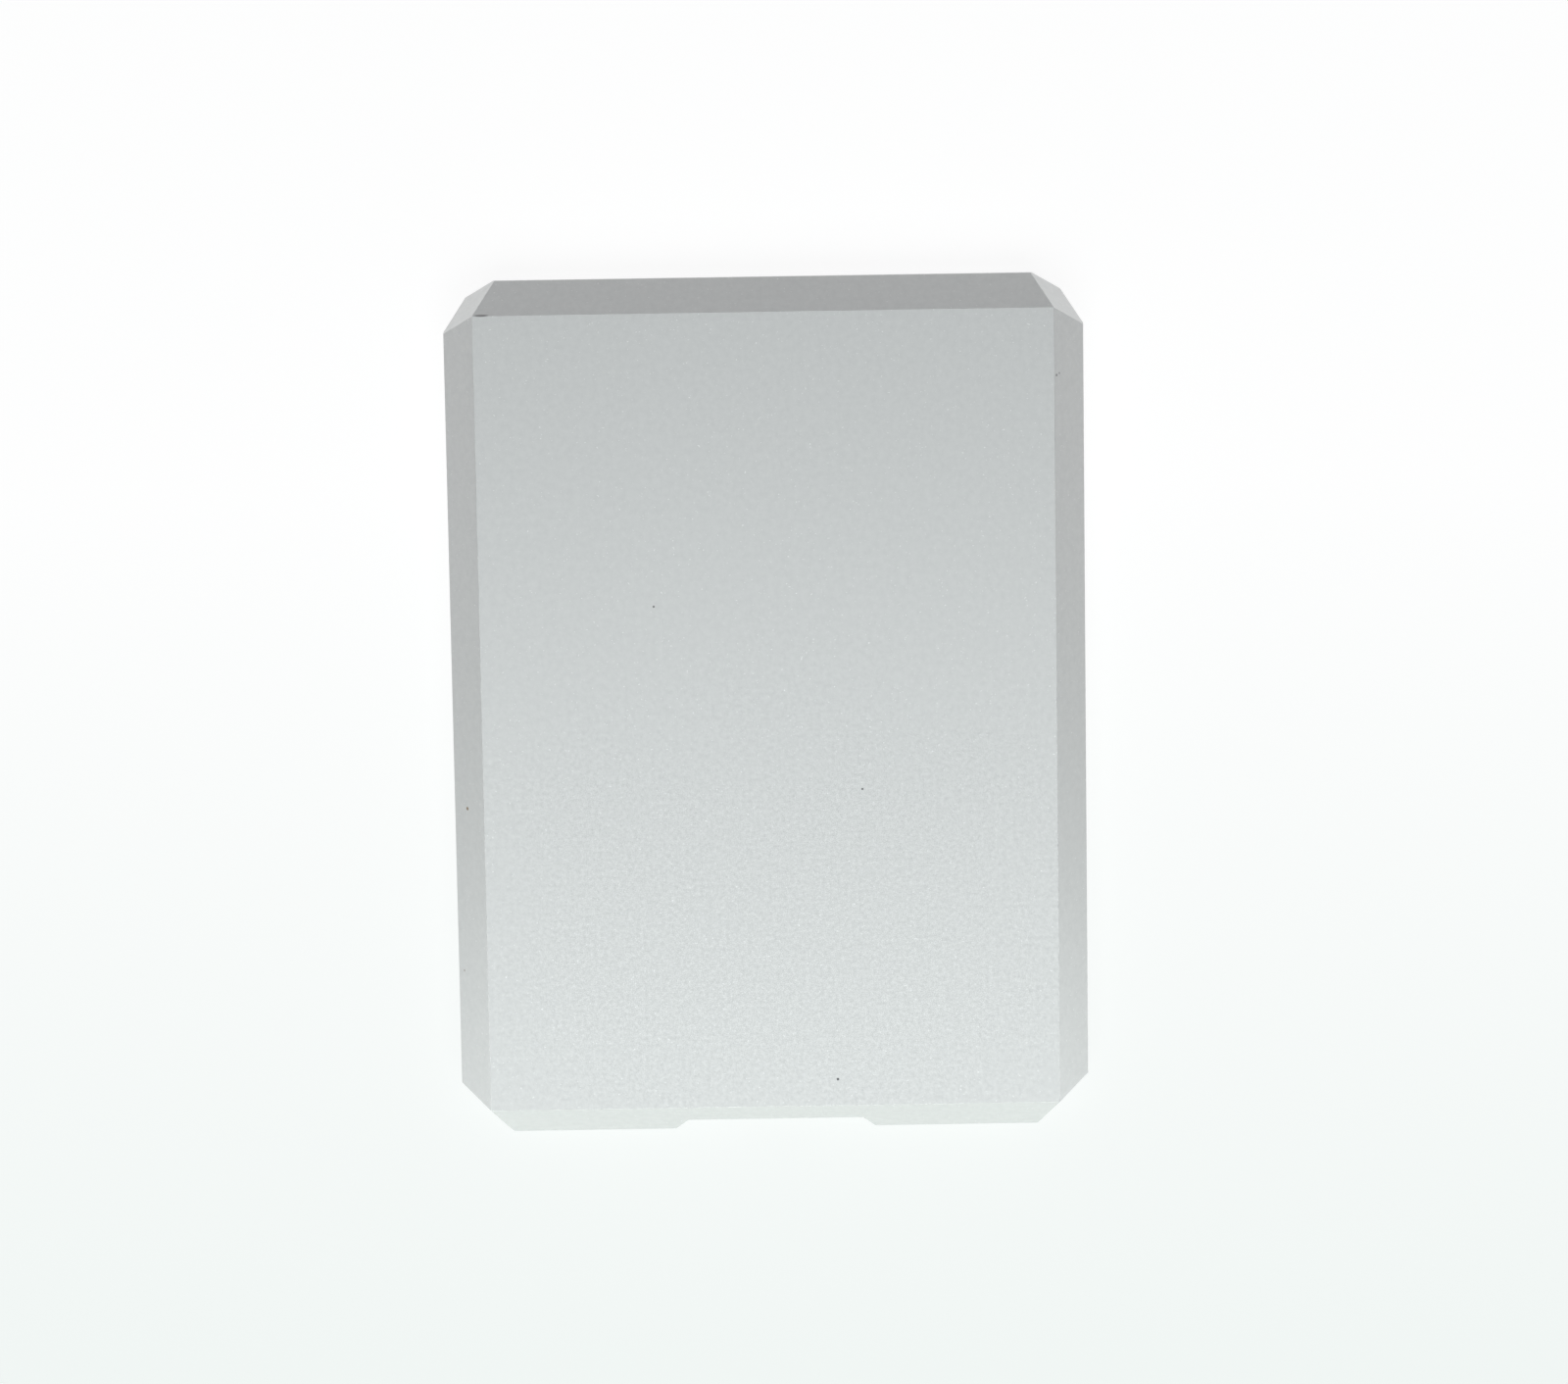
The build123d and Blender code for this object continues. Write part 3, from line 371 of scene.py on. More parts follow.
def circuit_finish(name, lacquer, over_copper, plating):
    """Lacquer over etched copper: tracks that run straight in patches, and plated holes with painted shade.
    """
    bore_shade = (0.012, 0.012, 0.012)
    patches_per_mm = 0.16
    track_scale = 0.52  # about 0.6 mm from track to track
    finish = new_finish(name, lacquer, roughness=0.34)
    tree = finish.node_tree
    patch = tree.nodes.new("ShaderNodeTexVoronoi")
    patch.distance = "CHEBYCHEV"
    patch.inputs["Scale"].default_value = patches_per_mm
    tree.links.new(in_millimetres(finish), patch.inputs["Vector"])
    pick = tree.nodes.new("ShaderNodeSeparateColor")
    tree.links.new(patch.outputs["Color"], pick.inputs["Color"])
    runs = []
    for direction in ("X", "Y"):
        track = tree.nodes.new("ShaderNodeTexWave")
        track.bands_direction = direction
        track.inputs["Scale"].default_value = track_scale
        tree.links.new(in_millimetres(finish), track.inputs["Vector"])
        runs.append(spread(finish, track.outputs["Fac"], 0, 1, start=0.55, end=0.68))
    either = tree.nodes.new("ShaderNodeMix")
    tree.links.new(spread(finish, pick.outputs["Red"], 0, 1, start=0.49, end=0.51), either.inputs["Factor"])
    tree.links.new(runs[0], either.inputs["A"])
    tree.links.new(runs[1], either.inputs["B"])
    tracks = either.outputs["Result"]
    from_hole = cells(finish, per_mm=0.3)
    ring = spread(finish, from_hole, 1, 0, start=0.075, end=0.085)
    # Painted shade: the middle of each plated ring is near black as the shade down a hole the board lacks.
    hole = spread(finish, from_hole, 1, 0, start=0.035, end=0.042)
    shown = tint(finish, tracks, lacquer, over_copper)
    shown = tint(finish, ring, shown, plating)
    link_to(finish, tint(finish, hole, shown, bore_shade), "Base Color")
    link_to(finish, ring, "Metallic")
    link_to(finish, spread(finish, grain(finish, per_mm=1.5), 0.28, 0.4), "Roughness")
    emboss(finish, tracks, depth_mm=0.035)
    shader_of(finish).inputs["Coat Weight"].default_value = 0.35
    shader_of(finish).inputs["Coat Roughness"].default_value = 0.12
    return finish


tin = (0.72, 0.72, 0.70)
drive_laminate = circuit_finish(
    "drive_laminate", lacquer=(0.02, 0.14, 0.07), over_copper=(0.035, 0.20, 0.09), plating=tin,
)
dress(drive_laminate, "drive_board")
break_edges(0.05, "drive_board")


def near_spot(finish, spot_mm, radius_mm, stretch):
    """1 inside a small spot on the surface, falling to 0 at its rim; stretch below 1 makes it longer."""
    tree = finish.node_tree
    away = tree.nodes.new("ShaderNodeVectorMath")
    away.operation = "DISTANCE"
    away.inputs[1].default_value = [place * share for place, share in zip(spot_mm, stretch)]
    tree.links.new(in_millimetres(finish, stretch), away.inputs[0])
    return spread(finish, away.outputs["Value"], 1, 0, start=0.6 * radius_mm, end=radius_mm)


def mark_spots(finish, spots, stretch=(1, 1, 1)):
    """Adds marks to a finish, each a place and a radius in millimetres and a colour."""
    shown = colour_so_far(finish)
    for spot, radius, mark in spots:
        shown = tint(finish, near_spot(finish, spot, radius, stretch), shown, mark)
    link_to(finish, shown, "Base Color")


epoxy = grained(
    "chip_epoxy", colour=(0.03, 0.03, 0.032), shade=(0.024, 0.024, 0.026),
    per_mm=9.0, smooth=0.5, rough=0.62, relief_mm=0.006,
)
pin_one_grey = (0.11, 0.11, 0.11)
pin_one_marks = []
for chip in ("drive_controller", "cache_memory", "motor_driver", "bridge_controller", "firmware_memory"):
    low, high = box_mm(chip)
    inset = 0.15 * (high.x - low.x)
    pin_one_marks.append(((low.x + inset, high.y - inset, high.z), 0.4 * inset, pin_one_grey))
mark_spots(epoxy, pin_one_marks)
chip_edge = 0.08
dress(epoxy, "drive_controller", "cache_memory", "motor_driver")
break_edges(chip_edge, "drive_controller", "cache_memory", "motor_driver")

tinned = grained(
    "tinned_leg", colour=tin, shade=(0.60, 0.60, 0.585),
    per_mm=8.0, smooth=0.28, rough=0.42, relief_mm=0.004, metallic=1.0,
)


def bent_leg(form, root, out, height, width):
    """One leg from a chip's side at root, out and down to the board and along it; root is on the board."""
    upper_side = [(-0.1, 0.62), (0.22, 0.62), (0.44, 0.12), (0.85, 0.12)]
    lower_side = [(0.85, 0.0), (0.36, 0.0), (0.14, 0.5), (-0.1, 0.5)]
    across = Vector((-out.y, out.x, 0))
    rings = []
    for side in (-0.5, 0.5):
        ring = []
        for reach, share in upper_side + lower_side:
            ring.append(root + reach * out + Vector((0, 0, share * height)) + side * width * across)
        rings.append(ring)
    join_rings(form, rings)


def chip_legs(name, chip, sides, count, pitch, width):
    """Rows of legs along the named sides of a chip."""
    low, high = box_mm(chip)
    middle = (low + high) / 2
    form = bmesh.new()
    for out_x, out_y in sides:
        for k in range(count):
            step = (k - (count - 1) / 2) * pitch
            if out_x:
                root = Vector((high.x if out_x > 0 else low.x, middle.y + step, low.z))
            else:
                root = Vector((middle.x + step, high.y if out_y > 0 else low.y, low.z))
            bent_leg(form, root, Vector((out_x, out_y, 0)), high.z - low.z, width)
    make_piece(name, form, tinned, "casing")


both_ends = ((0, 1), (0, -1))
all_round = both_ends + ((1, 0), (-1, 0))
chip_legs("cache_legs", "cache_memory", both_ends, count=9, pitch=0.8, width=0.3)
chip_legs("motor_driver_legs", "motor_driver", all_round, count=9, pitch=0.8, width=0.3)

plated = grained(
    "plated_screw", colour=(0.42, 0.42, 0.43), shade=(0.33, 0.33, 0.345),
    per_mm=6.0, smooth=0.26, rough=0.42, relief_mm=0.004, metallic=1.0,
)


def solids_of(name):
    """The lowest and highest corners, in millimetres, of each separate solid in a CAD node."""
    form = bmesh.new()
    form.from_mesh(node[name].data)
    bmesh.ops.remove_doubles(form, verts=form.verts, dist=1e-6)
    reached = set()
    boxes = []
    for first in form.verts:
        if first in reached:
            continue
        reached.add(first)
        solid = [first]
        for corner in solid:
            for edge in corner.link_edges:
                other = edge.other_vert(corner)
                if other not in reached:
                    reached.add(other)
                    solid.append(other)
        low = Vector([min(corner.co[axis] for corner in solid) for axis in range(3)])
        high = Vector([max(corner.co[axis] for corner in solid) for axis in range(3)])
        boxes.append((1000 * low, 1000 * high))
    form.free()
    return boxes


def screw_form(form, foot, up, head, head_height, shank, length):
    """One screw with a star recess and a thread; foot is the point under its head, up is 1 or -1.

    Its profile, from the tip to the floor of the recess, is a list of radius, level and depth of the star.
    """
    sides = 24
    thread_pitch = 0.32
    crest = 0.93 * shank
    root = 0.78 * shank
    recess = 0.16
    profile = [(0.4 * shank, -length, 0), (0.8 * shank, 0.15 - length, 0)]
    for turn in range(int((length - 0.35) / thread_pitch)):
        level = 0.2 - length + turn * thread_pitch
        profile += [(crest, level + 0.3 * thread_pitch, 0), (root, level + 0.85 * thread_pitch, 0)]
    profile += [(root, 0, 0), (0.9 * head, 0, 0), (0.92 * head, 0.3 * head_height, 0)]
    profile += [(0.92 * head, 0.75 * head_height, 0), (0.84 * head, head_height, 0)]
    profile += [(0.5 * head, head_height, recess), (0.47 * head, 0.25 * head_height, recess)]
    rings = []
    for radius, level, star in profile:
        ring = []
        for k in range(sides):
            angle = 2 * math.pi * k / sides
            reach = radius * (1 + star * math.cos(6 * angle))
            ring.append(foot + Vector((reach * math.cos(angle), reach * math.sin(angle), up * level)))
        rings.append(ring)
    join_rings(form, rings)


def threaded_screws(name, stands_for, head_height, shank, up=1, body="casing"):
    """The screws of one CAD node, with round heads, recesses and threads; up is -1 for heads below."""
    form = bmesh.new()
    for low, high in solids_of(stands_for):
        middle = (low + high) / 2
        under_head = high.z - head_height if up > 0 else low.z + head_height
        head = (high.x - low.x) / 2
        length = high.z - low.z - head_height
        screw_form(form, Vector((middle.x, middle.y, under_head)), up, head, head_height, shank, length)
    piece = make_piece(name, form, plated, body)
    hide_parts(stands_for)


threaded_screws("board_star_screws", "board_screws", head_height=0.4, shank=0.7, up=-1)

satin_black = grained(
    "connector_plastic", colour=(0.03, 0.03, 0.03), shade=(0.022, 0.022, 0.023),
    per_mm=5.0, smooth=0.38, rough=0.5, relief_mm=0.006,
)
connector_edge = 0.08
dress(satin_black, "sata_plug")
break_edges(connector_edge, "sata_plug")

gold = grained(
    "contact_gold", colour=(0.83, 0.62, 0.25), shade=(0.74, 0.53, 0.20),
    per_mm=7.0, smooth=0.2, rough=0.34, relief_mm=0.003, metallic=1.0,
)
plug_wall = 0.7
tongue_gap = 1.4
tongue_thickness = 1.2
signal_width = 10.0
power_width = 19.0
strip_width = 0.8
strip_pitch = 1.27
strip_inset = 0.1
strip_nose = 0.2
plug_low, plug_high = box_mm("sata_plug")
signal_middle = plug_high.x - plug_wall - tongue_gap - signal_width / 2
power_middle = plug_low.x + plug_wall + tongue_gap + power_width / 2
strip_start = plug_low.y + plug_wall + strip_inset
strip_end = plug_high.y - plug_wall - strip_inset
tongue_top = (plug_low.z + plug_high.z + tongue_thickness) / 2
strip_foot = tongue_top - 0.02
strip_top = tongue_top + 0.06
strip_profile = (
    (strip_start, strip_top - 0.04), (strip_start + strip_nose, strip_top), (strip_end, strip_top),
)
form = bmesh.new()
for tongue_middle, count in ((signal_middle, 7), (power_middle, 15)):
    for k in range(count):
        strip_middle = tongue_middle + (k - (count - 1) / 2) * strip_pitch
        left = strip_middle - strip_width / 2
        right = strip_middle + strip_width / 2
        rings = []
        for y, top in strip_profile:
            rings.append([(left, y, strip_foot), (right, y, strip_foot), (right, y, top), (left, y, top)])
        join_rings(form, rings)
make_piece("plug_strips", form, gold, "casing")

# Spindle motor: a ring of stamped steel sheets with nine teeth, each wound with enamelled copper wire,
# pressed into the base round a ground bearing sleeve. The magnet ring that turns inside it is nickel
# plated.
axis_at = {joint["name"]: [1000 * place for place in joint["pos_m"][:2]] for joint in frame["joints"]}
spindle = axis_at["spindle_spin"]


def figure(finish, operation, *terms):
    """One step of arithmetic on sockets and plain numbers."""
    step = finish.node_tree.nodes.new("ShaderNodeMath")
    step.operation = operation
    for socket, term in zip(step.inputs, terms):
        if isinstance(term, bpy.types.NodeSocket):
            finish.node_tree.links.new(term, socket)
        else:
            socket.default_value = term
    return step.outputs["Value"]


def from_axis(finish, middle):
    """Distance in millimetres from the upright line through middle."""
    away = finish.node_tree.nodes.new("ShaderNodeVectorMath")
    away.operation = "DISTANCE"
    away.inputs[1].default_value = (*middle, 0)
    finish.node_tree.links.new(in_millimetres(finish, (1, 1, 0)), away.inputs[0])
    return away.outputs["Value"]


def tool_marks(finish, distance, per_mm):
    """Uneven fine grooves along a distance, as a turning tool or a grinding wheel leaves."""
    noise = finish.node_tree.nodes.new("ShaderNodeTexNoise")
    noise.noise_dimensions = "1D"
    noise.inputs["Scale"].default_value = per_mm
    finish.node_tree.links.new(distance, noise.inputs["W"])
    return noise.outputs["Fac"]


def ridges(finish, distance, pitch_mm):
    """Even round ridges along a distance, as sheets in a stack or wires in a winding have."""
    wave = figure(finish, "SINE", figure(finish, "MULTIPLY", distance, 2 * math.pi / pitch_mm))
    return spread(finish, wave, 0, 1, start=-1, end=1)


def turned(name, colour, shade, middle, smooth, rough):
    """Bright metal with the rings that a lathe or a grinder leaves about an upright line."""
    finish = new_finish(name, colour, (smooth + rough) / 2, metallic=1.0)
    rings = tool_marks(finish, from_axis(finish, middle), per_mm=6.0)
    link_to(finish, tint(finish, spread(finish, rings, 0, 1), shade, colour), "Base Color")
    link_to(finish, spread(finish, grain(finish, per_mm=0.8, detail=3.0), smooth, rough), "Roughness")
    emboss(finish, rings, depth_mm=0.004)
    return finish


sheet_pitch = 0.2
stacked = grained(
    "core_sheets", colour=(0.48, 0.48, 0.50), shade=(0.38, 0.38, 0.40),
    per_mm=3.0, smooth=0.34, rough=0.5, metallic=1.0,
)
emboss(stacked, ridges(stacked, coordinate(stacked, "Z"), sheet_pitch), depth_mm=0.02)
dress(stacked, "stator_core")

wire_pitch = 0.16
wire_relief = 0.05
enamel_coat = 0.6
copper = (0.72, 0.36, 0.18)
copper_shade = (0.52, 0.22, 0.10)
wound = grained("stator_wire", copper, copper_shade, per_mm=5.0, smooth=0.22, rough=0.36, metallic=1.0)
emboss(wound, ridges(wound, from_axis(wound, spindle), wire_pitch), wire_relief)
shader_of(wound).inputs["Coat Weight"].default_value = enamel_coat
dress(wound, "stator_coils")
break_edges(0.12, "stator_coils")

nickel = grained(
    "magnet_nickel", colour=(0.66, 0.66, 0.64), shade=(0.58, 0.58, 0.565),
    per_mm=4.0, smooth=0.16, rough=0.3, relief_mm=0.004, metallic=1.0,
)
dress(nickel, "rotor_magnet")
break_edges(0.08, "rotor_magnet")

ground_steel = (0.70, 0.70, 0.71)
ground_shade = (0.60, 0.60, 0.615)
bearing_edge = 0.08
bearing_steel = turned(
    "spindle_bearing_steel", ground_steel, ground_shade, spindle, smooth=0.16, rough=0.26,
)
dress(bearing_steel, "bearing_sleeve")
break_edges(bearing_edge, "bearing_sleeve")

# Hub, disc and clamp: a turned aluminium hub carries one glass disc, sputtered to a mirror, under a flat
# clamp that one screw holds. Faint rings from the polishing show on the disc, and where it is clamped it
# is a little hazier.
turned_silver = (0.78, 0.79, 0.80)
turned_shade = (0.68, 0.69, 0.705)
lathe_aluminium = turned("turned_aluminium", turned_silver, turned_shade, spindle, smooth=0.2, rough=0.32)
dress(lathe_aluminium, "spindle_hub", "disc_clamp")
break_edges(0.06, "spindle_hub", "disc_clamp")

mirror_silver = (0.82, 0.83, 0.84)
mirror_shade = (0.78, 0.795, 0.81)
mirror_bright = (0.84, 0.845, 0.85)
mirror = new_finish("disc_mirror", mirror_silver, roughness=0.04, metallic=1.0)
from_spindle = from_axis(mirror, spindle)
polish_rings = tool_marks(mirror, from_spindle, per_mm=2.0)
link_to(mirror, tint(mirror, spread(mirror, polish_rings, 0, 1), mirror_shade, mirror_bright), "Base Color")
clamp_rim = box_mm("disc_clamp")[1].x - spindle[0]
clamp_haze = spread(mirror, from_spindle, 0.16, 0.035, start=clamp_rim + 0.5, end=clamp_rim + 2.0)
link_to(mirror, figure(mirror, "ADD", clamp_haze, spread(mirror, polish_rings, 0, 0.02)), "Roughness")
emboss(mirror, tool_marks(mirror, from_spindle, per_mm=14.0), depth_mm=0.0006)
dress(mirror, "disc")
break_edges(0.1, "disc")
threaded_screws("clamp_star_screw", "clamp_screw", head_height=0.4, shank=0.9, body="spindle")

# Head actuator: a block of aluminium milled into two thin arms and a fork, which swings on a ground
# sleeve. The flat copper coil is glued in the fork, and etched steel springs at the arms' ends carry the
# two lapped ceramic heads.
pivot = axis_at["actuator_swing"]
milled = grained(
    "milled_aluminium", turned_silver, turned_shade,
    per_mm=4.0, smooth=0.24, rough=0.38, relief_mm=0.006, metallic=1.0, stretch=(0.25, 1.6, 1),
)
dress(milled, "actuator_block")
break_edges(0.06, "actuator_block")
pivot_steel = turned("pivot_bearing_steel", ground_steel, ground_shade, pivot, smooth=0.16, rough=0.26)
dress(pivot_steel, "pivot_sleeve", "pivot_shaft")
break_edges(bearing_edge, "pivot_sleeve", "pivot_shaft")


def winding_depth(finish, middle, slant, half_width, inner, outer):
    """How deep in a flat coil the surface point lies, from the nearest of its four sides, in millimetres.

    The coil is a sector about the upright line through middle, whose own middle line is at slant.
    """
    sideways = finish.node_tree.nodes.new("ShaderNodeVectorMath")
    sideways.operation = "DOT_PRODUCT"
    sideways.inputs[1].default_value = (math.sin(slant), -math.cos(slant), 0)
    finish.node_tree.links.new(in_millimetres(finish), sideways.inputs[0])
    at_middle = middle[0] * math.sin(slant) - middle[1] * math.cos(slant)
    off_line = figure(finish, "ABSOLUTE", figure(finish, "SUBTRACT", sideways.outputs["Value"], at_middle))
    width_in = figure(finish, "SUBTRACT", half_width, off_line)
    off_arc = figure(finish, "SUBTRACT", from_axis(finish, middle), (inner + outer) / 2)
    depth_in = figure(finish, "SUBTRACT", (outer - inner) / 2, figure(finish, "ABSOLUTE", off_arc))
    return figure(finish, "MINIMUM", depth_in, width_in)


coil_wire = grained(
    "voice_coil_wire", copper, copper_shade, per_mm=5.0, smooth=0.22, rough=0.36, metallic=1.0,
)
coil_slant = math.radians(18.0)
wound_in = winding_depth(coil_wire, pivot, coil_slant, half_width=4.95, inner=7.8, outer=14.8)
emboss(coil_wire, ridges(coil_wire, wound_in, wire_pitch), wire_relief)
shader_of(coil_wire).inputs["Coat Weight"].default_value = enamel_coat
dress(coil_wire, "voice_coil")
break_edges(0.1, "voice_coil")

spring = grained(
    "spring_steel", colour=(0.75, 0.74, 0.72), shade=(0.66, 0.65, 0.635),
    per_mm=7.0, smooth=0.18, rough=0.3, relief_mm=0.002, metallic=1.0, stretch=(0.3, 1.4, 1),
)
dress(spring, "suspensions")
lapped = grained(
    "slider_ceramic", colour=(0.07, 0.07, 0.08), shade=(0.05, 0.05, 0.058),
    per_mm=12.0, smooth=0.14, rough=0.24, relief_mm=0.001,
)
dress(lapped, "sliders")

# Voice-coil motor, ramp and filter: two nickel-plated steel yokes on posts with a magnet between them,
# rubber sleeves on the posts as stops, a moulded ramp that lifts the heads off the disc, and a pressed
# fibre pad that cleans the air.
yoke_nickel = grained(
    "yoke_nickel", colour=(0.48, 0.48, 0.50), shade=(0.41, 0.41, 0.43),
    per_mm=2.0, smooth=0.24, rough=0.4, relief_mm=0.008, metallic=1.0,
)
dress(yoke_nickel, "lower_yoke", "upper_yoke")
dress(nickel, "coil_magnet")
dress(rubber, "crash_stops")
ramp_cream = grained(
    "ramp_polymer", colour=(0.82, 0.80, 0.72), shade=(0.78, 0.75, 0.66),
    per_mm=4.0, smooth=0.3, rough=0.44, relief_mm=0.003,
)
shader_of(ramp_cream).inputs["Subsurface Weight"].default_value = 0.15
shader_of(ramp_cream).inputs["Subsurface Scale"].default_value = 0.0005
dress(ramp_cream, "load_ramp")
break_edges(0.1, "lower_yoke", "upper_yoke", "coil_magnet", "crash_stops", "load_ramp")

felt = grained(
    "filter_felt", colour=(0.86, 0.86, 0.83), shade=(0.74, 0.74, 0.70),
    per_mm=6.0, smooth=0.9, rough=1.0, relief_mm=0.05, stretch=(0.4, 1, 2.2),
)
shader_of(felt).inputs["Sheen Weight"].default_value = 0.4
felt_edge = ((0.7, 0), (0.14, 0), (0, 0.06), (0.08, 0.5), (0, 0.94), (0.14, 1), (0.7, 1))
cut_pad("air_filter_pad", "air_filter", felt, felt_edge, corner=0.6, bow=0.12)

# Drive cover: stamped from thin stainless sheet, whose rolling grain runs along it, and pressed on a
# rubber seal by six screws at the rim and one into the actuator's pivot shaft.
dress(rubber, "cover_seal")
rolled = grained(
    "cover_steel", colour=(0.68, 0.68, 0.69), shade=(0.60, 0.60, 0.615),
    per_mm=5.0, smooth=0.24, rough=0.38, relief_mm=0.004, metallic=1.0, stretch=(1.6, 0.06, 1),
)
dress(rolled, "drive_cover")
break_edges(0.1, "drive_cover")
threaded_screws("cover_star_screws", "cover_screws", head_height=0.3, shank=0.7)
threaded_screws("pivot_star_screw", "pivot_screw", head_height=0.3, shank=1.0)

# Bridge board: a blue board in the frame's bay that turns the drive's connector into the port, held by
# two screws. It carries the bridge chip, a small memory on legs, a crystal in a steel can, a ferrite coil,
# two ceramic capacitors with tinned ends and the receptacle that plugs on the drive.
bridge_laminate = circuit_finish(
    "bridge_laminate", lacquer=(0.02, 0.05, 0.13), over_copper=(0.03, 0.08, 0.19), plating=tin,
)
dress(bridge_laminate, "bridge_board")
break_edges(0.05, "bridge_board")
dress(epoxy, "bridge_controller", "firmware_memory")
break_edges(chip_edge, "bridge_controller", "firmware_memory")
chip_legs("memory_legs", "firmware_memory", both_ends, count=4, pitch=0.65, width=0.26)

drawn_steel = grained(
    "port_steel", colour=(0.62, 0.62, 0.63), shade=(0.54, 0.54, 0.55),
    per_mm=5.0, smooth=0.2, rough=0.34, relief_mm=0.004, metallic=1.0, stretch=(1.5, 0.1, 1.5),
)
dress(drawn_steel, "crystal")
break_edges(0.15, "crystal")

ferrite = grained(
    "ferrite", colour=(0.12, 0.12, 0.12), shade=(0.085, 0.085, 0.088),
    per_mm=5.0, smooth=0.5, rough=0.68, relief_mm=0.015,
)
dress(ferrite, "power_inductor")
break_edges(0.25, "power_inductor")

fired = grained(
    "capacitor_ceramic", colour=(0.55, 0.42, 0.28), shade=(0.48, 0.36, 0.235),
    per_mm=6.0, smooth=0.4, rough=0.52, relief_mm=0.004,
)
tinned_length = 0.45
tin_line = 0.02
low, high = box_mm("capacitors")
past_first_end = along(fired, "Y", low.y + tinned_length, low.y + tinned_length + tin_line)
past_body = along(fired, "Y", high.y - tinned_length, high.y - tinned_length + tin_line)
tinned_ends = figure(fired, "MAXIMUM", figure(fired, "SUBTRACT", 1.0, past_first_end), past_body)
link_to(fired, tint(fired, tinned_ends, colour_so_far(fired), tin), "Base Color")
link_to(fired, tinned_ends, "Metallic")
dress(fired, "capacitors")
break_edges(0.08, "capacitors")

dress(satin_black, "sata_receptacle")
break_edges(connector_edge, "sata_receptacle")
threaded_screws("bridge_star_screws", "bridge_screws", head_height=0.7, shank=0.8)

# Port: the data receptacle in the notch, a drawn stainless shell round a black plastic tongue with twelve
# gold-plated contacts on each side. Beside it a frosted acrylic pin in a round window leads out the light
# of a small resin lamp.
dress(drawn_steel, "usb_shell")
break_edges(0.06, "usb_shell")
dress(satin_black, "usb_tongue")
break_edges(0.05, "usb_tongue")
dress(gold, "usb_contacts")

resin = grained(
    "lamp_resin", colour=(0.88, 0.88, 0.82), shade=(0.84, 0.83, 0.74),
    per_mm=3.0, smooth=0.16, rough=0.28, relief_mm=0.004,
)
shader_of(resin).inputs["Subsurface Weight"].default_value = 0.3
shader_of(resin).inputs["Subsurface Scale"].default_value = 0.0004
dress(resin, "status_lamp")
frosted = grained(
    "pipe_acrylic", colour=(0.86, 0.89, 0.90), shade=(0.82, 0.86, 0.88),
    per_mm=6.0, smooth=0.22, rough=0.4, relief_mm=0.006,
)
shader_of(frosted).inputs["Transmission Weight"].default_value = 0.75
shader_of(frosted).inputs["IOR"].default_value = 1.49
dress(frosted, "light_pipe")
break_edges(0.1, "status_lamp", "light_pipe")

# Front shell: the upper half of the casing, from the same blasted stock. It closes over the lip of the
# back shell at the ridge, so the seam runs round the middle of the sides as a hairline. Its skin has a
# few specks and one small nick, and the far edge of its face is scuffed at one end.
nick = (
    ((40.06, 46.37, 10.62), 0.22, (0.30, 0.30, 0.31)),
    ((40.47, 46.58, 10.11), 0.17, (0.36, 0.36, 0.37)),
)
specks = (
    ((-42.17, -13.25, 8.01), 0.30, (0.33, 0.25, 0.17)),
    ((-43.22, -36.53, 6.72), 0.18, (0.42, 0.38, 0.36)),
    ((-15.69, 15.22, 11.0), 0.18, (0.20, 0.20, 0.20)),
    ((12.72, -10.79, 11.0), 0.18, (0.16, 0.16, 0.16)),
    ((8.76, -51.97, 11.0), 0.22, (0.12, 0.12, 0.13)),
)
edge_scuff = ((-38.5, 55.82, 10.93), 0.24, (0.36, 0.36, 0.36))
mark_spots(blasted, nick + specks)
for finish in (blasted, worn_and_highlight_edge):
    mark_spots(finish, (edge_scuff,), stretch=(0.2, 1, 1))
dress(blasted, "front_shell")
break_edges(shell_edge, "front_shell", rubbed=worn_and_highlight_edge)

# Floor, light and camera: a pale table top under one soft light above the port end, with white cards low
# in front and at both sides and a dim one at the far end, seen from above with a long lens.
table_radius = 3.0
table_gap = 0.0001
table_mesh = bpy.data.meshes.new("table_top")
form = bmesh.new()
bmesh.ops.create_circle(form, cap_ends=True, radius=table_radius, segments=96)
form.to_mesh(table_mesh)
form.free()
table = bpy.data.objects.new("table_top", table_mesh)
table.location.z = -table_gap
bpy.context.scene.collection.objects.link(table)

pale = new_finish("table_white", (0.20, 0.20, 0.20), roughness=0.8)
shader_of(pale).inputs["Specular IOR Level"].default_value = 0.0
paths = pale.node_tree.nodes.new("ShaderNodeLightPath")
seen = figure(pale, "MAXIMUM", paths.outputs["Is Camera Ray"], paths.outputs["Is Glossy Ray"])
seen = figure(pale, "MAXIMUM", seen, paths.outputs["Is Transmission Ray"])
# Painted light: the floor's glow is painted dimmer and greener at the port end, brighter at the far end.
near_white = (0.95, 1.0, 0.98)
far_white = (1.0, 1.0, 1.0)
to_far_end = along(pale, "Y", low_mm=-100, high_mm=30)
glow = spread(pale, to_far_end, 0.83, 0.91, start=0, end=1)
link_to(pale, figure(pale, "MULTIPLY", seen, glow), "Emission Strength")
link_to(pale, tint(pale, to_far_end, near_white, far_white), "Emission Color")
table_mesh.materials.append(pale)
table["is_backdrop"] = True

dim_room = bpy.data.worlds.new("dim_room")
bpy.context.scene.world = dim_room
dim_room.use_nodes = True
dim_room.node_tree.nodes["Background"].inputs["Color"].default_value = (0.07, 0.072, 0.077, 1)


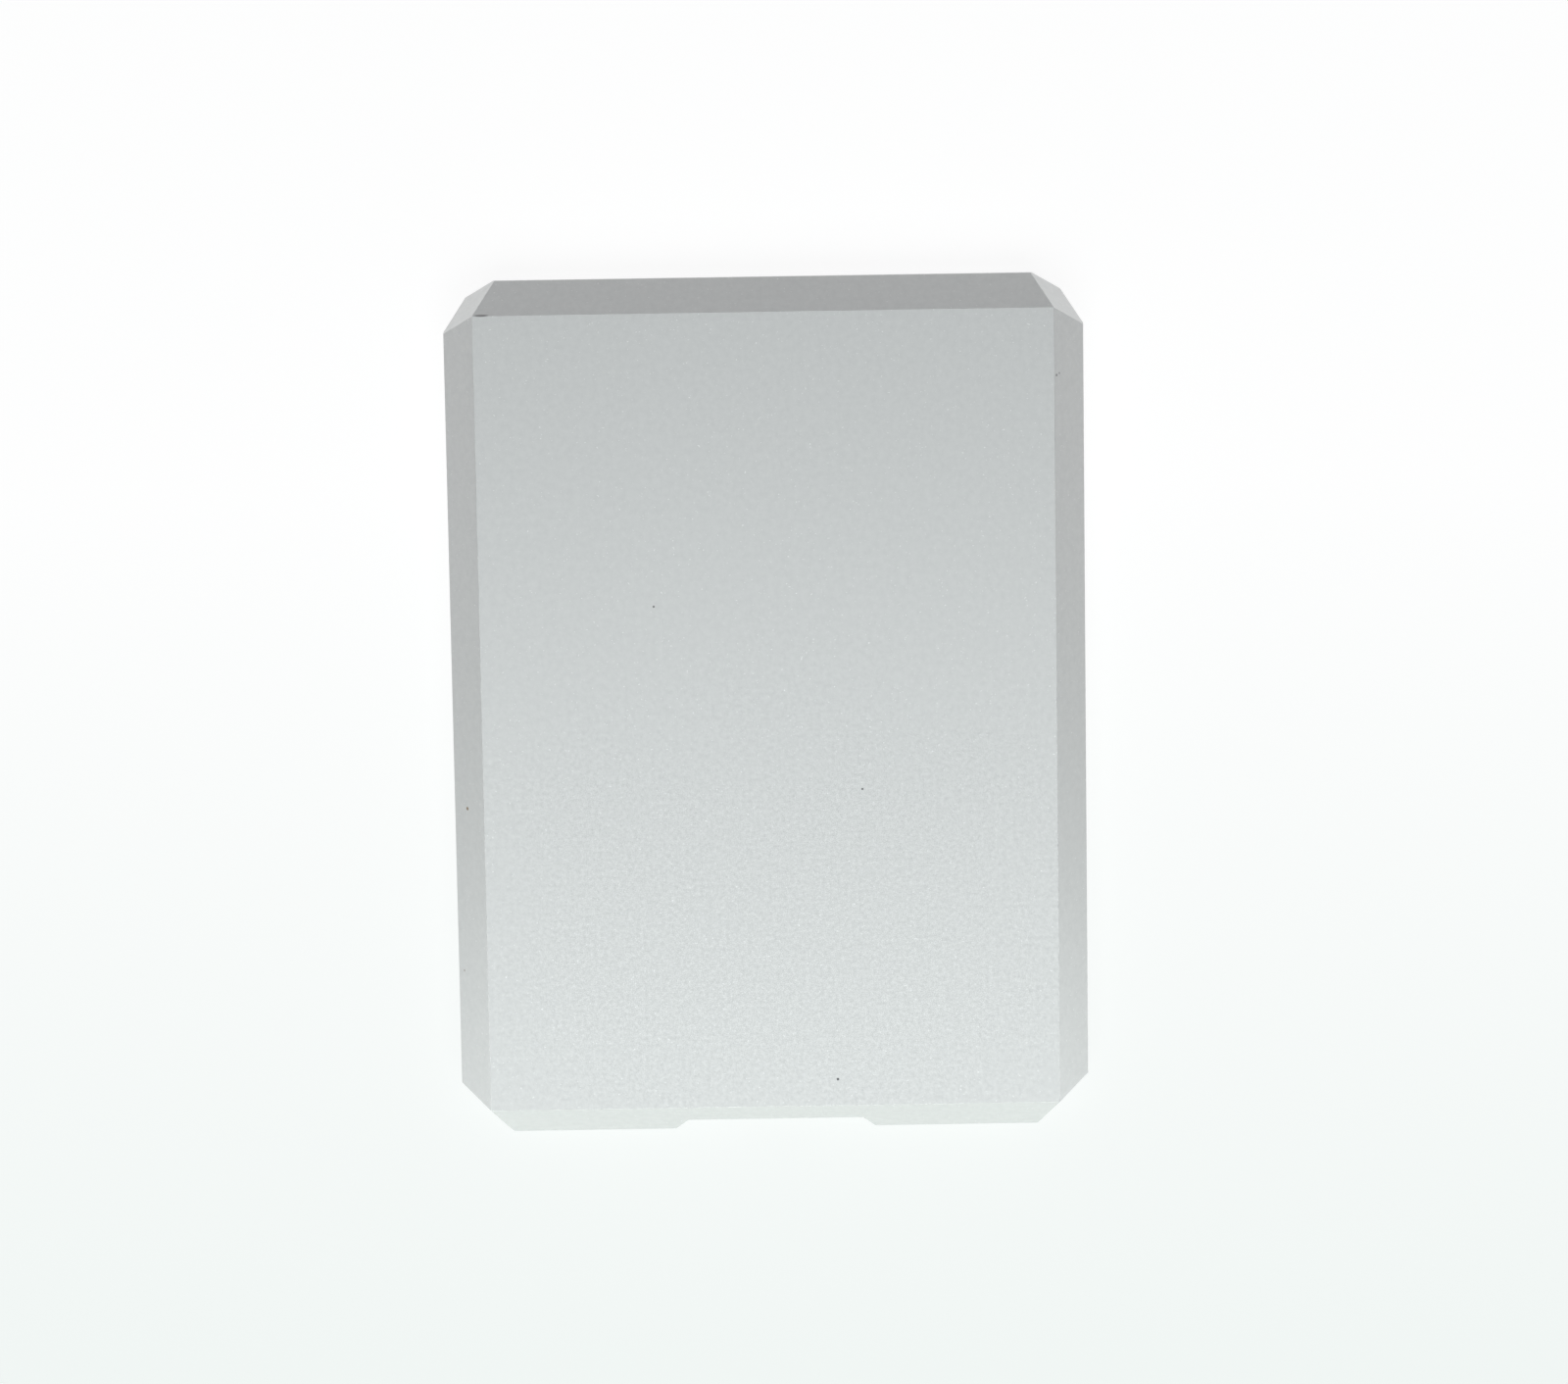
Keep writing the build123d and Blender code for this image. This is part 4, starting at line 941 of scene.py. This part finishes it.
def soft_panel(name, middle, aim, across, along_it, brightness, colour, lights_floor=False):
    """A flat diffuser out of the camera's sight; one that leaves the floor unlit only shows in metal."""
    panel = bpy.data.objects.new(name, bpy.data.lights.new(name, "AREA"))
    panel.data.shape = "RECTANGLE"
    panel.data.size = across
    panel.data.size_y = along_it
    panel.data.energy = brightness * math.pi * across * along_it
    panel.data.color = colour
    panel.location = middle
    panel.rotation_euler = (Vector(aim) - Vector(middle)).to_track_quat("-Z", "Y").to_euler()
    panel.visible_camera = False
    panel.visible_diffuse = lights_floor
    bpy.context.scene.collection.objects.link(panel)


softbox = Vector((0, -0.545, 1.069))
half_up = Vector((0, 0.184, 0.094))
soft_panel(
    "upper_softbox", softbox + half_up, half_up,
    across=1.1, along_it=0.413, brightness=2.38, colour=(0.985, 1.0, 1.015), lights_floor=True,
)
soft_panel(
    "lower_softbox", softbox - half_up, -half_up,
    across=1.1, along_it=0.413, brightness=2.38, colour=(0.93, 1.0, 0.955), lights_floor=True,
)
soft_panel(
    "front_card", (0, -0.6, 0.1), (0, 0, 0.1),
    across=1.2, along_it=0.2, brightness=2.7, colour=(0.945, 1.0, 0.95),
)
soft_panel(
    "far_card", (0, 0.739, 0.946), (0, 0, 0),
    across=2.0, along_it=0.6, brightness=0.85, colour=(0.98, 0.99, 1.0),
)
for side in (-1, 1):
    soft_panel(
        "side_card", (0.17 * side, -0.15, 0.06), (0, -0.15, 0.06),
        across=0.18, along_it=0.12, brightness=1.65, colour=(0.98, 1.0, 0.995),
    )

camera = bpy.data.objects.new("camera", bpy.data.cameras.new("camera"))
camera.data.lens = 135.818
camera.data.sensor_width = 36.0
camera.data.clip_end = 20.0
camera_place = Vector((0.000665, 0.142951, 0.815679))
camera_aim = Vector((0.002076, 0.003015, 0.011))
lean = math.radians(0.879)
back = (camera_place - camera_aim).normalized()
right = Vector((math.sin(lean), math.cos(lean), 0)).cross(back).normalized()
turn = Matrix((right, back.cross(right), back)).transposed()
camera.matrix_world = Matrix.Translation(camera_place) @ turn.to_4x4()
bpy.context.scene.collection.objects.link(camera)
bpy.context.scene.camera = camera
bpy.context.scene.view_settings.view_transform = "Standard"

low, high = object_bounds()
